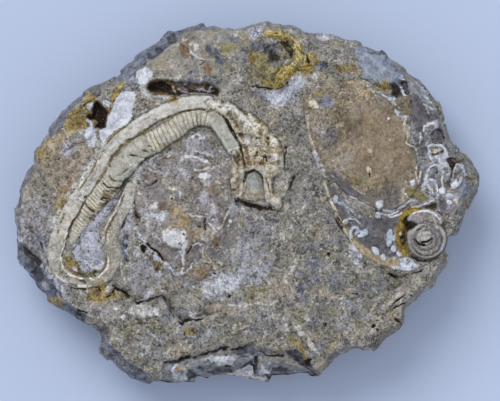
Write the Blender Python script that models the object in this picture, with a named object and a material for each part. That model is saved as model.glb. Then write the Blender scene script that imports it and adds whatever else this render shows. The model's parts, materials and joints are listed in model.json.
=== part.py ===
# Fossil worm tube on a slab of flinty rock, lying on its back with the fossils facing up.
# X runs along the slab's length, Y across it, and the slab rests on its flat underside at Z = 0.

import math

import bmesh
import bpy
from mathutils import Vector, noise
from mathutils.geometry import delaunay_2d_cdt

# Every length below is in millimetres, and MM turns it into Blender's metres.
MM = 0.001

# Driving dimensions of the slab. The face is a low dome, highest in the middle.
HALF_LENGTH = 62.7
HALF_WIDTH = 48.2
FACE_HEIGHT = 25.0
FACE_DROP = 4.0

# The broken sides, from the face down: a brow part of the way to the widest line, that line's height,
# then a flank and a heel as inset and height, and the inset of the flat underside
BROW_SHARE = 0.42
WAIST_HEIGHT = 13.0
FLANK = (2.6, 7.4)
HEEL = (6.2, 2.2)
REST_INSET = 10.0
SIDE_ROUGHNESS = 1.1

# How the fossils sit in the face: the depth of their beds, the gap to the rock on every side, and the
# strip of bed round each one before the rock rises to the face
BED_DEPTH = 1.8
GAP = 0.3
BED_RING = 0.25
BED_MARGIN = 0.5
BED_SLOPE = 1.3
ROCK_LIFT = 0.2

# The tube: its ribs, and the spacing of the stations along each smoother run
RIB_SPACING = 1.8
RIB_HEIGHT = 0.22
ARM_RIB_SHARE = 0.3
RIB_FADE = (50.0, 62.0)
SPRINGING = 0.3
# Each run beside the ribbed tube: station spacing, roughness, and how far its underside is raised, so
# that no two undersides lie in one plane where the runs are joined
WALL_FORM = (2.2, 0.25, 0.12)
GROOVE_FORM = (3.0, 0.0, 0.24)
CRUST_FORM = (1.3, 1.4, 0.36)
LIP_FORM = (1.6, 0.8, 0.48)

# The flat fossils: how proud of the face they stand, and the size of their relief
OYSTER_EDGE = 0.9
OYSTER_DISH = (1.1, 9.0)
VALVE_HEIGHT = 1.7
VALVE_STEP = 0.35
LOWER_VALVE_HEIGHT = 0.1
LOWER_VALVE_RIM = (0.5, 3.5)
OYSTER_LUMPS = (0.4, 4.5)
OCHRE_EDGE = 0.2
OCHRE_CROWN = (1.1, 1.6)
OCHRE_LUMPS = (0.45, 1.9)
PLUG_EDGE = 1.7
PLUG_CROWN = (0.9, 1.4)
COIL_CENTRE = (48.5, -8.8)
COIL_RADII = (5.0, 6.2)
COIL_HEIGHT = 3.6
COIL_TURNS = 2.6
COIL_RIDGE = 0.22

# The slab's widest outline, seen from above, starting at the top and going clockwise
OUTLINE = [
    (-13.0, 47.6), (-9.1, 47.6), (-2.6, 47.0), (0.9, 47.4), (5.0, 48.2), (9.7, 47.6), (13.6, 46.7),
    (14.9, 45.6), (20.5, 45.2), (25.2, 44.7), (30.8, 44.1), (33.9, 42.4), (36.9, 40.7), (39.0, 38.7),
    (42.9, 36.6), (44.2, 34.9), (46.8, 33.6), (48.5, 31.6), (50.7, 28.8), (52.8, 25.8), (54.5, 21.5),
    (55.4, 17.2), (57.5, 13.3), (60.5, 9.5), (62.3, 6.9), (62.7, 5.1), (61.4, 3.4), (60.5, 1.3),
    (58.0, -2.8), (56.7, -8.0), (54.5, -10.9), (53.9, -14.4), (52.8, -17.4), (51.1, -19.6),
    (50.7, -22.4), (47.8, -23.4), (45.5, -26.2), (43.1, -28.6), (43.3, -32.1), (41.6, -34.2),
    (37.7, -35.9), (34.7, -39.8), (30.4, -40.0), (27.4, -40.6), (23.1, -42.4), (22.9, -44.5),
    (20.5, -47.6), (13.6, -47.3), (6.5, -46.9), (0.8, -46.7), (-4.4, -46.5), (-8.7, -46.7),
    (-13.9, -47.8), (-19.0, -48.2), (-24.2, -48.0), (-28.9, -47.6), (-33.6, -44.3), (-35.8, -41.9),
    (-38.8, -39.6), (-38.0, -37.7), (-38.2, -35.1), (-39.7, -33.8), (-43.1, -32.3), (-46.6, -31.2),
    (-50.0, -28.2), (-53.0, -26.4), (-53.5, -24.3), (-55.6, -22.2), (-56.2, -20.0), (-59.5, -16.6),
    (-61.2, -15.3), (-62.1, -10.9), (-62.3, -7.1), (-62.7, -3.2), (-61.6, 0.9), (-60.6, 5.1),
    (-59.0, 8.0), (-57.4, 10.8), (-57.5, 14.2), (-54.3, 16.6), (-52.2, 19.4), (-50.4, 22.4),
    (-47.8, 25.0), (-46.1, 26.9), (-44.0, 27.8), (-41.8, 29.7), (-38.8, 30.6), (-36.2, 32.1),
    (-33.7, 34.4), (-29.8, 37.7), (-27.2, 40.0), (-24.0, 41.8), (-21.6, 44.1), (-20.1, 45.5),
]

# How wide the broken slope round the face is, by compass angle in degrees from +X
EDGE_SLOPES = [
    (0, 2.2), (20, 2.0), (45, 4.5), (62, 5.0), (72, 1.3), (86, 1.1), (100, 1.6), (125, 2.2), (150, 2.0),
    (180, 2.2), (205, 4.0), (222, 2.6), (242, 3.5), (255, 6.0), (270, 7.0), (288, 6.0), (300, 2.6),
    (330, 2.0), (346, 1.1), (360, 2.2),
]

# Parts of the tube, each as stations along its middle: x, y, half width, height over the rock
OUTER_WALL = [
    (-31.3, 2.8, 1.2, 1.3), (-32.6, -0.4, 1.6, 1.6), (-35.0, -4.7, 1.8, 1.7), (-36.5, -9.1, 1.8, 1.7),
    (-35.6, -13.6, 1.7, 1.6), (-35.9, -17.0, 1.7, 1.5), (-37.7, -20.1, 1.6, 1.4),
    (-41.3, -22.3, 1.4, 1.4), (-45.5, -22.4, 1.4, 1.4), (-49.2, -20.7, 1.6, 1.6),
    (-51.4, -18.0, 1.8, 1.7), (-52.3, -14.7, 2.0, 1.8), (-52.0, -11.4, 2.1, 2.0),
    (-50.7, -8.0, 2.1, 2.1), (-48.8, -4.7, 2.1, 2.2), (-46.4, -0.7, 2.1, 2.3), (-44.0, 3.4, 2.0, 2.4),
    (-41.1, 7.7, 1.9, 2.5), (-38.4, 11.7, 1.8, 2.6), (-35.6, 15.2, 1.7, 2.6), (-31.8, 18.6, 1.6, 2.7),
    (-27.5, 21.6, 1.7, 2.8), (-23.6, 23.7, 1.8, 2.9), (-18.9, 25.8, 1.7, 2.9),
    (-14.6, 26.9, 1.6, 2.9), (-10.7, 27.0, 1.6, 2.8),
]
GROOVE_FLOOR = [
    (-49.0, -16.1, 0.9, 0.7), (-49.0, -11.5, 1.0, 0.8), (-48.0, -8.0, 1.1, 0.9),
    (-45.8, -3.9, 1.2, 0.9), (-43.1, 0.5, 1.3, 1.0), (-39.9, 5.3, 1.4, 1.1), (-36.7, 9.8, 1.5, 1.2),
    (-33.7, 14.4, 1.6, 1.2), (-30.5, 17.0, 1.6, 1.3), (-26.9, 19.4, 1.6, 1.3),
    (-23.2, 21.6, 1.6, 1.3), (-19.4, 23.3, 1.5, 1.3), (-16.1, 24.4, 1.4, 1.3), (-12.4, 25.0, 1.4, 1.3),
]
RIBBED_TUBE = [
    (-48.4, -13.9, 0.9, 1.2), (-47.6, -11.4, 1.3, 1.6), (-46.5, -8.2, 1.6, 2.0),
    (-44.2, -4.7, 2.0, 2.5), (-42.1, -1.8, 2.3, 2.9), (-39.6, 0.8, 2.7, 3.2), (-36.1, 5.1, 3.1, 3.5),
    (-32.9, 10.1, 3.3, 3.7), (-29.4, 13.9, 3.2, 3.8), (-26.1, 15.9, 3.1, 3.9),
    (-22.9, 17.8, 3.1, 3.9), (-19.7, 19.8, 3.0, 3.9), (-16.1, 22.1, 2.5, 3.8),
    (-13.2, 23.1, 2.2, 3.7), (-10.5, 22.9, 2.1, 3.7), (-7.8, 21.7, 1.8, 3.6), (-5.6, 18.8, 1.6, 3.5),
    (-4.1, 16.2, 1.6, 3.4), (-2.9, 13.6, 1.6, 3.3), (-2.1, 10.9, 1.6, 3.2), (-1.8, 7.7, 1.5, 3.2),
    (-1.8, 4.7, 1.4, 3.1), (-1.6, 2.0, 1.4, 2.9),
]
MOUTH_CRUST = [
    (-11.6, 26.9, 1.4, 2.8), (-7.2, 25.6, 2.0, 3.3), (-3.5, 23.3, 2.7, 3.9), (0.1, 20.1, 3.6, 4.5),
    (3.0, 16.6, 4.5, 5.0), (4.9, 12.8, 5.1, 5.3), (5.3, 8.9, 5.0, 5.3),
]
MOUTH_LIP = [
    (7.3, 12.0, 2.2, 4.2), (7.1, 8.2, 1.9, 4.0), (6.9, 5.0, 1.7, 3.8), (7.2, 2.3, 2.0, 3.5),
    (7.9, -0.1, 2.3, 3.0),
]

# Outlines of the flat fossils let into the face
MOUTH_PLUG = [
    (2.3, 8.0), (3.4, 7.3), (4.0, 5.8), (4.1, 3.9), (3.4, 2.1), (2.2, 1.5), (1.1, 2.0), (0.7, 3.9),
    (0.8, 6.1), (1.4, 7.4),
]
LEFT_OYSTER = [
    (-29.4, 5.8), (-27.6, 9.4), (-25.1, 10.9), (-21.5, 12.9), (-18.4, 15.1), (-15.5, 17.7),
    (-12.4, 19.4), (-9.7, 19.2), (-8.0, 16.9), (-6.6, 14.2), (-4.8, 11.2), (-4.1, 7.4), (-3.9, 3.4),
    (-3.6, -0.1), (-1.6, -2.0), (-1.6, -6.6), (-2.9, -11.8), (-4.5, -15.0), (-8.3, -18.5),
    (-11.8, -20.4), (-15.1, -19.9), (-18.1, -18.8), (-22.8, -15.8), (-25.6, -12.6), (-27.8, -9.6),
    (-29.0, -6.4), (-29.6, -1.0),
]
RIGHT_OYSTER = [
    (15.4, 28.7), (19.5, 31.4), (25.4, 32.8), (30.3, 34.1), (35.7, 30.6), (38.9, 28.4), (41.6, 28.5),
    (45.7, 28.6), (49.0, 25.9), (51.4, 20.9), (52.5, 16.3), (54.6, 12.0), (57.6, 8.4), (58.2, 4.4),
    (55.9, -0.7), (54.6, -2.2), (51.9, -1.6), (47.8, -1.9), (44.3, -3.6), (42.4, -7.0),
    (42.3, -10.9), (43.2, -14.5), (44.6, -17.2), (44.3, -18.4), (39.9, -17.8), (35.6, -16.5),
    (31.3, -13.9), (27.8, -9.2), (25.2, -5.3), (23.0, -0.1), (20.3, 7.7), (18.1, 13.1), (16.1, 20.1),
]
UPPER_VALVE_EDGE = [
    (39.0, 27.0), (42.4, 22.8), (44.2, 17.2), (45.5, 13.8), (47.0, 10.1), (48.1, 6.1), (46.0, 2.8),
    (41.9, 0.9), (38.4, -1.2), (35.4, -1.0), (32.7, -0.4), (29.8, 1.5), (27.3, 2.3), (24.0, 6.6),
]
UPPER_VALVE = UPPER_VALVE_EDGE + [
    (20.4, 9.4), (18.7, 13.5), (16.6, 20.1), (15.9, 27.5), (19.8, 30.6), (25.4, 32.0), (30.3, 33.2),
    (35.3, 29.9),
]
OCHRE_SHELL = [
    (4.8, 44.6), (5.7, 45.2), (9.2, 45.3), (11.8, 44.1), (14.1, 42.4), (16.0, 40.1), (18.1, 38.7),
    (19.5, 37.1), (18.4, 35.2), (16.0, 35.0), (13.0, 34.5), (11.7, 32.5), (10.0, 30.9), (8.2, 31.2),
    (9.2, 33.6), (10.6, 35.8), (12.0, 37.9), (12.4, 40.1), (11.6, 42.0), (10.0, 43.2), (7.1, 43.8),
]

# Relief of the bare rock: lumps as height and size, and ledges as x, y points, low side on the left
LUMPS = [(1.0, 9.0), (0.5, 3.2)]
FLAKE_LEDGE = [
    (-2.2, -29.9), (-7.0, -30.3), (-12.1, -31.4), (-14.7, -31.8), (-17.3, -32.7), (-20.7, -29.0),
    (-21.2, -26.9), (-23.3, -25.2), (-26.8, -26.4), (-30.2, -26.9), (-33.0, -27.4), (-36.0, -26.6),
    (-40.0, -26.0), (-45.0, -25.6),
]
CORNER_LEDGE = [(27.0, -27.5), (31.0, -25.8), (34.6, -26.4), (37.2, -24.2), (40.5, -23.6), (44.5, -21.0)]
SHOULDER_LEDGE = [(-50.5, 12.5), (-46.0, 15.5), (-42.5, 17.0), (-40.6, 19.6)]
# Each ledge has its step and how far the low side takes to come level again
LEDGES = [(FLAKE_LEDGE, 1.9, 9.0), (CORNER_LEDGE, 1.4, 7.0), (SHOULDER_LEDGE, -1.0, 6.0)]
LEDGE_FACE = 0.6
# Pits as x, y, half length, half width, turn in degrees, depth
PITS = [
    (-39.9, 24.4, 2.6, 4.2, -15, 3.4),
    (-16.8, 30.6, 10.2, 2.4, -3, 2.4),
    (4.6, 37.4, 7.4, 6.6, 0, 2.0),
    (-43.6, -13.2, 4.0, 6.0, 25, 0.8),
]

COLOURS = {
    "rock_slab": ((0.25, 0.23, 0.20), 0.85),
    "worm_tube": ((0.52, 0.49, 0.40), 0.75),
    "tube_mouth_plug": ((0.38, 0.39, 0.36), 0.8),
    "middle_oyster_shell": ((0.33, 0.29, 0.25), 0.6),
    "right_oyster_shell": ((0.28, 0.23, 0.18), 0.45),
    "coiled_shell": ((0.33, 0.30, 0.28), 0.55),
    "ochre_shell": ((0.35, 0.24, 0.04), 0.7),
}


def smooth_step(low, high, value):
    share = min(1.0, max(0.0, (value - low) / (high - low)))
    return share * share * (3 - 2 * share)


def dome(x, y):
    return FACE_HEIGHT - FACE_DROP * ((x / HALF_LENGTH) ** 2 + (y / HALF_WIDTH) ** 2)


def lumps(x, y, size, layer):
    return noise.noise(Vector((x / size, y / size, layer)))


def nearest_on_line(x, y, points, closed):
    """The distance to a run of straight pieces, whether the point is left of it, and how far along."""
    best, left, along, walked = 1e9, False, 0.0, 0.0
    ends = points[1:] + (points[:1] if closed else [])
    for (ax, ay), (bx, by) in zip(points, ends):
        dx, dy = bx - ax, by - ay
        length = math.hypot(dx, dy)
        share = min(1.0, max(0.0, ((x - ax) * dx + (y - ay) * dy) / length**2))
        away = math.hypot(x - ax - dx * share, y - ay - dy * share)
        if away < best:
            best = away
            left = dx * (y - ay) - dy * (x - ax) > 0
            along = walked + share * length
        walked += length
    return best, left, along / walked


def inside(x, y, outline):
    odd = False
    for (ax, ay), (bx, by) in zip(outline, outline[1:] + outline[:1]):
        if (ay > y) != (by > y) and x < ax + (y - ay) * (bx - ax) / (by - ay):
            odd = not odd
    return odd


def outside_distance(x, y, outline):
    """How far a point is outside a closed outline, and below zero where it is inside."""
    away = nearest_on_line(x, y, outline, True)[0]
    return -away if inside(x, y, outline) else away


def ellipse(centre, radii, count):
    turns = [2 * math.pi * i / count for i in range(count)]
    return [(centre[0] + radii[0] * math.cos(a), centre[1] + radii[1] * math.sin(a)) for a in turns]


COIL = ellipse(COIL_CENTRE, COIL_RADII, 22)
PLATES = [MOUTH_PLUG, LEFT_OYSTER, RIGHT_OYSTER, OCHRE_SHELL, COIL]
TUBE_RUNS = [OUTER_WALL, GROOVE_FLOOR, RIBBED_TUBE, MOUTH_CRUST, MOUTH_LIP]


def spline(stations, spacing):
    """Points at an even spacing along a smooth curve through the stations, all their values carried."""
    points = [Vector(s) for s in stations]
    points = [2 * points[0] - points[1]] + points + [2 * points[-1] - points[-2]]
    fine = []
    for a, b, c, d in zip(points, points[1:], points[2:], points[3:]):
        for i in range(12):
            t = i / 12
            fine.append(
                0.5 * (2 * b + (c - a) * t + (2 * a - 5 * b + 4 * c - d) * t**2
                       + (3 * b - a - 3 * c + d) * t**3)
            )
    fine.append(points[-2])
    walked = [0.0]
    for a, b in zip(fine, fine[1:]):
        walked.append(walked[-1] + (b - a).to_2d().length)
    count = max(2, round(walked[-1] / spacing))
    even, at = [], 0
    for i in range(count + 1):
        goal = walked[-1] * i / count
        while at < len(fine) - 2 and walked[at + 1] < goal:
            at += 1
        share = (goal - walked[at]) / (walked[at + 1] - walked[at])
        even.append((goal, fine[at].lerp(fine[at + 1], share)))
    return even


def heading(points, i):
    ahead = points[min(i + 1, len(points) - 1)][1] - points[max(i - 1, 0)][1]
    return ahead.to_2d().normalized()


TUBE_SPINES = [[p for _, p in spline(run, 1.5)] for run in TUBE_RUNS]


def tube_distance(x, y):
    """How far a point is outside the tube's footprint."""
    return min(
        math.hypot(x - p[0], y - p[1]) - p[2] for spine in TUBE_SPINES for p in spine
    )


def bed_share(x, y):
    """One under a fossil and just round it, fading to nothing on the bare rock."""
    away = min([tube_distance(x, y)] + [outside_distance(x, y, plate) for plate in PLATES])
    return 1 - smooth_step(BED_MARGIN, BED_MARGIN + BED_SLOPE, away)


def pit_depth(x, y):
    depth = 0.0
    for cx, cy, half_long, half_wide, turn, deep in PITS:
        c, s = math.cos(math.radians(turn)), math.sin(math.radians(turn))
        u = ((x - cx) * c + (y - cy) * s) / half_long
        v = ((y - cy) * c - (x - cx) * s) / half_wide
        depth += deep * (1 - smooth_step(0.45, 1.0, math.hypot(u, v)))
    return depth


def ledge_drop(x, y):
    drop = 0.0
    for points, step, reach in LEDGES:
        away, left, along = nearest_on_line(x, y, points, False)
        taper = smooth_step(0.0, 0.12, along) * smooth_step(0.0, 0.12, 1 - along)
        if left:
            drop += step * taper * smooth_step(0, LEDGE_FACE, away) * math.exp(-away / reach)
    return drop


def rock_top(x, y):
    share = bed_share(x, y)
    bare = ROCK_LIFT + sum(height * lumps(x, y, size, size) for height, size in LUMPS)
    bare -= pit_depth(x, y) + ledge_drop(x, y)
    return dome(x, y) + bare * (1 - share) - BED_DEPTH * share


def slope_width(angle):
    for (a, low), (b, high) in zip(EDGE_SLOPES, EDGE_SLOPES[1:]):
        if a <= angle <= b:
            return low + (high - low) * (angle - a) / (b - a)


def pulled_in(point, distance):
    length = math.hypot(*point)
    return (point[0] * (1 - distance / length), point[1] * (1 - distance / length))


def shoulder_outline():
    """The rim of the face, inside the widest outline by the width of the broken slope."""
    rim = []
    for x, y in OUTLINE:
        angle = math.degrees(math.atan2(y, x)) % 360
        rim.append(pulled_in((x, y), slope_width(angle)))
    return rim


def scattered(outline, spacing, margin):
    """A staggered field of points inside an outline, each pushed a little off its place."""
    xs, ys = zip(*outline)
    found, row, y = [], 0, min(ys)
    while y < max(ys):
        x = min(xs) + (row % 2) * spacing / 2
        while x < max(xs):
            px = x + 0.28 * spacing * lumps(x, y, 1.7, 11.3)
            py = y + 0.28 * spacing * lumps(x, y, 1.7, 23.9)
            if outside_distance(px, py, outline) < -margin:
                found.append((px, py))
            x += spacing
        y += spacing * 0.86
        row += 1
    return found


def beside(points, offset, closed):
    """A line that keeps the same distance from another, on its right."""
    moved = []
    for i, (x, y) in enumerate(points):
        before = points[i - 1] if closed or i else points[i]
        after = points[(i + 1) % len(points)] if closed or i + 1 < len(points) else points[i]
        dx, dy = after[0] - before[0], after[1] - before[1]
        length = math.hypot(dx, dy)
        moved.append((x + dy / length * offset, y - dx / length * offset))
    return moved


def along_outline(points, spacing, closed):
    """A line cut into steps of about the spacing, keeping its own corners."""
    made = []
    ends = points[1:] + (points[:1] if closed else [])
    for (ax, ay), (bx, by) in zip(points, ends):
        steps = max(1, round(math.hypot(bx - ax, by - ay) / spacing))
        made += [(ax + (bx - ax) * i / steps, ay + (by - ay) * i / steps) for i in range(steps)]
    return made if closed else made + [points[-1]]


def thinned(points, spacing, taken=()):
    """The points in order, leaving out any that is too near one already kept."""
    kept = list(taken)
    for x, y in points:
        if all((x - a) ** 2 + (y - b) ** 2 > spacing**2 for a, b in kept):
            kept.append((x, y))
    return kept[len(taken):]


def triangles(boundary, points, lines=()):
    """Flat triangles that fill a boundary and use every point and line. The boundary comes first."""
    flat = [Vector(p) for p in boundary] + [Vector(p) for p in points]
    edges = []
    for line in lines:
        start = len(flat)
        flat += [Vector(p) for p in line]
        edges += [(start + i, start + i + 1) for i in range(len(line) - 1)]
    loop = list(range(len(boundary)))
    found = delaunay_2d_cdt(flat, edges, [loop], 1, 1e-5)
    verts, faces, origins = found[0], found[2], found[3]
    rim_places = {source: i for i, sources in enumerate(origins) for source in sources}
    rim = [rim_places[i] for i in range(len(boundary))]
    faces = [list(f) for f in faces]
    for face in faces:
        a, b, c = (verts[i] for i in face)
        if (b - a).cross(c - a) < 0:
            face.reverse()
    return [(v.x, v.y) for v in verts], faces, rim


def add_object(name, verts, faces):
    """A mesh object from millimetre points, in the colour of its piece."""
    mesh = bpy.data.meshes.new(name)
    mesh.from_pydata([(x * MM, y * MM, z * MM) for x, y, z in verts], [], faces)
    shape = bmesh.new()
    shape.from_mesh(mesh)
    bmesh.ops.recalc_face_normals(shape, faces=shape.faces)
    bmesh.ops.triangulate(shape, faces=shape.faces)
    shape.to_mesh(mesh)
    shape.free()
    made = bpy.data.objects.new(name, mesh)
    bpy.context.scene.collection.objects.link(made)
    if name in COLOURS:
        colour, roughness = COLOURS[name]
        material = bpy.data.materials.new(name)
        material.use_nodes = True
        shader = material.node_tree.nodes["Principled BSDF"]
        shader.inputs["Base Color"].default_value = (*colour, 1)
        shader.inputs["Roughness"].default_value = roughness
        mesh.materials.append(material)
    return made


def ring_round(outline, offset):
    """A closed line that keeps the same distance outside an outline."""
    turns = sum(a[0] * b[1] - b[0] * a[1] for a, b in zip(outline, outline[1:] + outline[:1]))
    return beside(along_outline(outline, 2.6, True), offset if turns > 0 else -offset, True)


def ring_round_run(stations, offset):
    """A closed line round the footprint of one run of the tube, its square ends included."""
    spine = [p for _, p in spline(stations, 2.4)]
    sides = {}
    for side in (-1, 1):
        edge = beside([(p.x, p.y) for p in spine], side, False)
        sides[side] = [
            (p.x + (a - p.x) * (p.z + offset), p.y + (b - p.y) * (p.z + offset))
            for p, (a, b) in zip(spine, edge)
        ]
    ring = sides[1] + sides[-1][::-1]
    for place, inner in ((0, 1), (-1, -2)):
        out = (spine[place] - spine[inner]).to_2d().normalized() * offset
        for side in (-1, 1):
            at = ring.index(sides[side][place])
            ring[at] = (ring[at][0] + out.x, ring[at][1] + out.y)
    return ring


def footprint_rings(offset):
    rings = [ring_round_run(run, offset) for run in TUBE_RUNS]
    return rings + [ring_round(plate, offset) for plate in PLATES]


def face_layout(rim):
    """The corners that the rock's face needs beside fossils, ledges and pits, and its fixed lines."""
    lines = []
    for ring in footprint_rings(BED_RING):
        run = []
        for point in ring + ring[:1]:
            if outside_distance(*point, rim) < -0.5:
                run.append(point)
            elif run:
                lines.append(run)
                run = []
        lines.append(run)
    for points, _, _ in LEDGES:
        stepped = along_outline(points, 1.8, False)
        lines += [stepped, beside(stepped, -LEDGE_FACE, False)]
    wanted = [p for ring in footprint_rings(BED_MARGIN + BED_SLOPE) for p in ring]
    for cx, cy, half_long, half_wide, turn, _ in PITS:
        for size in (1.05, 0.75, 0.45):
            count = max(8, round(2.2 * (half_long + half_wide) * size))
            for x, y in ellipse((0, 0), (half_long * size, half_wide * size), count):
                c, s = math.cos(math.radians(turn)), math.sin(math.radians(turn))
                wanted.append((cx + x * c - y * s, cy + x * s + y * c))
    wanted = [p for p in wanted if outside_distance(*p, rim) < -0.8]
    fixed = [p for line in lines for p in line]
    wanted = thinned(wanted, 0.8, fixed)
    return wanted + thinned(scattered(rim, 3.3, 1.2), 1.6, fixed + wanted), lines


def side_rings(rim):
    """Rings of corners down the broken sides, from the brow to the flat underside."""
    count = len(OUTLINE)
    radii = [math.hypot(*point) for point in OUTLINE]
    smooth = [sum(radii[(i + k) % count] for k in range(-3, 4)) / 7 for i in range(count)]
    brow, waist, flank, heel, rest = [], [], [], [], []
    for i, (x, y) in enumerate(OUTLINE):
        rough = SIDE_ROUGHNESS * lumps(x, y, 6, 31.7)
        shift = SIDE_ROUGHNESS * lumps(x, y, 5, 41.2)
        bulge = radii[i] - smooth[i]
        top = rock_top(*rim[i])
        waist_height = WAIST_HEIGHT + 2 * rough
        brow_inset = (radii[i] - math.hypot(*rim[i])) * (BROW_SHARE + 0.2 * rough)
        brow.append((*pulled_in((x, y), brow_inset), top + BROW_SHARE * (waist_height - top)))
        waist.append((x, y, waist_height))
        flank.append((*pulled_in((x, y), FLANK[0] + max(0, bulge) + shift), FLANK[1] + rough))
        heel.append((*pulled_in((x, y), HEEL[0] + 1.5 * max(0, bulge) + shift), HEEL[1] + 0.5 * rough))
        rest.append((*pulled_in((x, y), REST_INSET + bulge), 0.0))
    return [brow, waist, flank, heel, rest]


def make_slab():
    rim = shoulder_outline()
    flat, faces, rim_places = triangles(rim, *face_layout(rim))
    verts = [(x, y, rock_top(x, y)) for x, y in flat]
    previous = rim_places
    for ring in side_rings(rim):
        start = len(verts)
        verts += ring
        current = list(range(start, len(verts)))
        for i, place in enumerate(current):
            after = (i + 1) % len(current)
            faces.append([previous[i], previous[after], current[after], place])
        previous = current
    faces.append(previous)
    return add_object("rock_slab", verts, faces)


def make_plate(name, outline, top, points, lines=()):
    """A closed plate that fills an outline. Its underside lies on its bed in the rock, less the gap."""
    flat, faces, rim = triangles(outline, points, lines)
    count = len(flat)
    verts = [(x, y, top(x, y)) for x, y in flat]
    verts += [(x, y, dome(x, y) - BED_DEPTH + GAP) for x, y in flat]
    below = [[i + count for i in reversed(face)] for face in faces]
    sides = []
    for i, place in enumerate(rim):
        after = rim[(i + 1) % len(rim)]
        sides.append([place, place + count, after + count, after])
    return add_object(name, verts, faces + below + sides)


def ribbing(distance, i):
    """Every other station of the ribbed tube stands up, less so along its smooth right arm."""
    strength = 1 - (1 - ARM_RIB_SHARE) * smooth_step(*RIB_FADE, distance)
    return (RIB_HEIGHT if i % 2 else -RIB_HEIGHT) * strength


def make_run(name, stations, spacing, rough, lift, ribbed=False):
    """One run of the tube: an arched cross-section carried along its stations."""
    points = spline(stations, spacing)
    across = [-1.0, -0.86, -0.5, 0.0, 0.5, 0.86, 1.0]
    verts, faces = [], []
    ring = len(across) + 2
    for i, (distance, (x, y, half, height)) in enumerate(points):
        ahead = heading(points, i)
        swell = ribbing(distance, i) if ribbed else 0.0
        for t in across:
            px, py = x + ahead.y * t * (half + 0.5 * swell), y - ahead.x * t * (half + 0.5 * swell)
            arch = SPRINGING + (1 - SPRINGING) * math.sqrt(max(0.0, 1 - t * t))
            bump = rough * lumps(px, py, 2.4, 5.5) * arch
            verts.append((px, py, dome(px, py) + (height + swell) * arch + bump))
        for t in (1, -1):
            px, py = x + ahead.y * t * half, y - ahead.x * t * half
            verts.append((px, py, dome(px, py) - BED_DEPTH + GAP + lift))
        if i:
            a, b = (i - 1) * ring, i * ring
            for k in range(ring):
                n = (k + 1) % ring
                faces.append([a + k, a + n, b + n, b + k])
    faces += [list(range(ring)), list(range(len(verts) - ring, len(verts)))]
    return add_object(name, verts, faces)


def make_tube():
    """The runs of the tube joined into one solid."""
    tube = make_run("worm_tube", RIBBED_TUBE, RIB_SPACING / 2, 0.0, 0.0, ribbed=True)
    joined = {
        "tube_wall_form": (OUTER_WALL, WALL_FORM),
        "tube_groove_form": (GROOVE_FLOOR, GROOVE_FORM),
        "tube_crust_form": (MOUTH_CRUST, CRUST_FORM),
        "tube_lip_form": (MOUTH_LIP, LIP_FORM),
    }
    for name, (stations, form_values) in joined.items():
        form = make_run(name, stations, *form_values)
        form.hide_render = True
        form.display_type = "WIRE"
        union = tube.modifiers.new(name, "BOOLEAN")
        union.operation = "UNION"
        union.solver = "EXACT"
        union.object = form


def crowned(x, y, outline, crown):
    """How far a plate's top has risen between its edge and its middle."""
    height, reach = crown
    return height * smooth_step(0, reach, -outside_distance(x, y, outline))


def uneven(x, y, relief, layer):
    height, size = relief
    return height * lumps(x, y, size, layer)


def middle_oyster_top(x, y):
    return (dome(x, y) + OYSTER_EDGE - crowned(x, y, LEFT_OYSTER, OYSTER_DISH)
            + uneven(x, y, OYSTER_LUMPS, 13.1))


def right_oyster_top(x, y):
    inner = 1 - smooth_step(-VALVE_STEP, VALVE_STEP, outside_distance(x, y, UPPER_VALVE))
    rim_height = LOWER_VALVE_RIM[0] - crowned(x, y, RIGHT_OYSTER, LOWER_VALVE_RIM)
    lower = LOWER_VALVE_HEIGHT + rim_height
    return dome(x, y) + lower + (VALVE_HEIGHT - lower) * inner + uneven(x, y, OYSTER_LUMPS, 17.3)


def make_right_oyster():
    lines = [beside(UPPER_VALVE_EDGE, offset, False) for offset in (-VALVE_STEP, VALVE_STEP)]
    field = scattered(RIGHT_OYSTER, 3.4, 0.9)
    field = thinned(field, 1.2, [p for line in lines for p in line])
    make_plate("right_oyster_shell", RIGHT_OYSTER, right_oyster_top, field, lines)


def ochre_top(x, y):
    return (dome(x, y) + OCHRE_EDGE + crowned(x, y, OCHRE_SHELL, OCHRE_CROWN)
            + uneven(x, y, OCHRE_LUMPS, 29.3))


def plug_top(x, y):
    return dome(x, y) + PLUG_EDGE + crowned(x, y, MOUTH_PLUG, PLUG_CROWN)


def coil_top(x, y):
    """A low whorled dome: its ridge winds round the middle like a watch spring."""
    dx, dy = (x - COIL_CENTRE[0]) / COIL_RADII[0], (y - COIL_CENTRE[1]) / COIL_RADII[1]
    out = min(1.0, math.hypot(dx, dy))
    turn = math.atan2(dy, dx) / (2 * math.pi)
    ridge = COIL_RIDGE * math.cos(2 * math.pi * (out * COIL_TURNS - turn)) * (1 - out**4)
    return dome(x, y) + COIL_HEIGHT * (0.25 + 0.75 * math.sqrt(1 - out * out)) + ridge


def make_coil():
    rings = []
    for size, count in ((0.9, 20), (0.76, 18), (0.6, 16), (0.44, 12), (0.28, 9), (0.12, 5)):
        rings += ellipse(COIL_CENTRE, (COIL_RADII[0] * size, COIL_RADII[1] * size), count)
    make_plate("coiled_shell", COIL, coil_top, rings)


def main():
    for old in list(bpy.data.objects):
        bpy.data.objects.remove(old)
    make_slab()
    make_tube()
    make_plate("tube_mouth_plug", MOUTH_PLUG, plug_top, scattered(MOUTH_PLUG, 1.3, 0.4))
    make_plate("middle_oyster_shell", LEFT_OYSTER, middle_oyster_top, scattered(LEFT_OYSTER, 3.1, 0.9))
    make_right_oyster()
    make_coil()
    make_plate("ochre_shell", OCHRE_SHELL, ochre_top, scattered(OCHRE_SHELL, 1.7, 0.5))


main()
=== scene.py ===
import itertools
import json
import math

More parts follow.
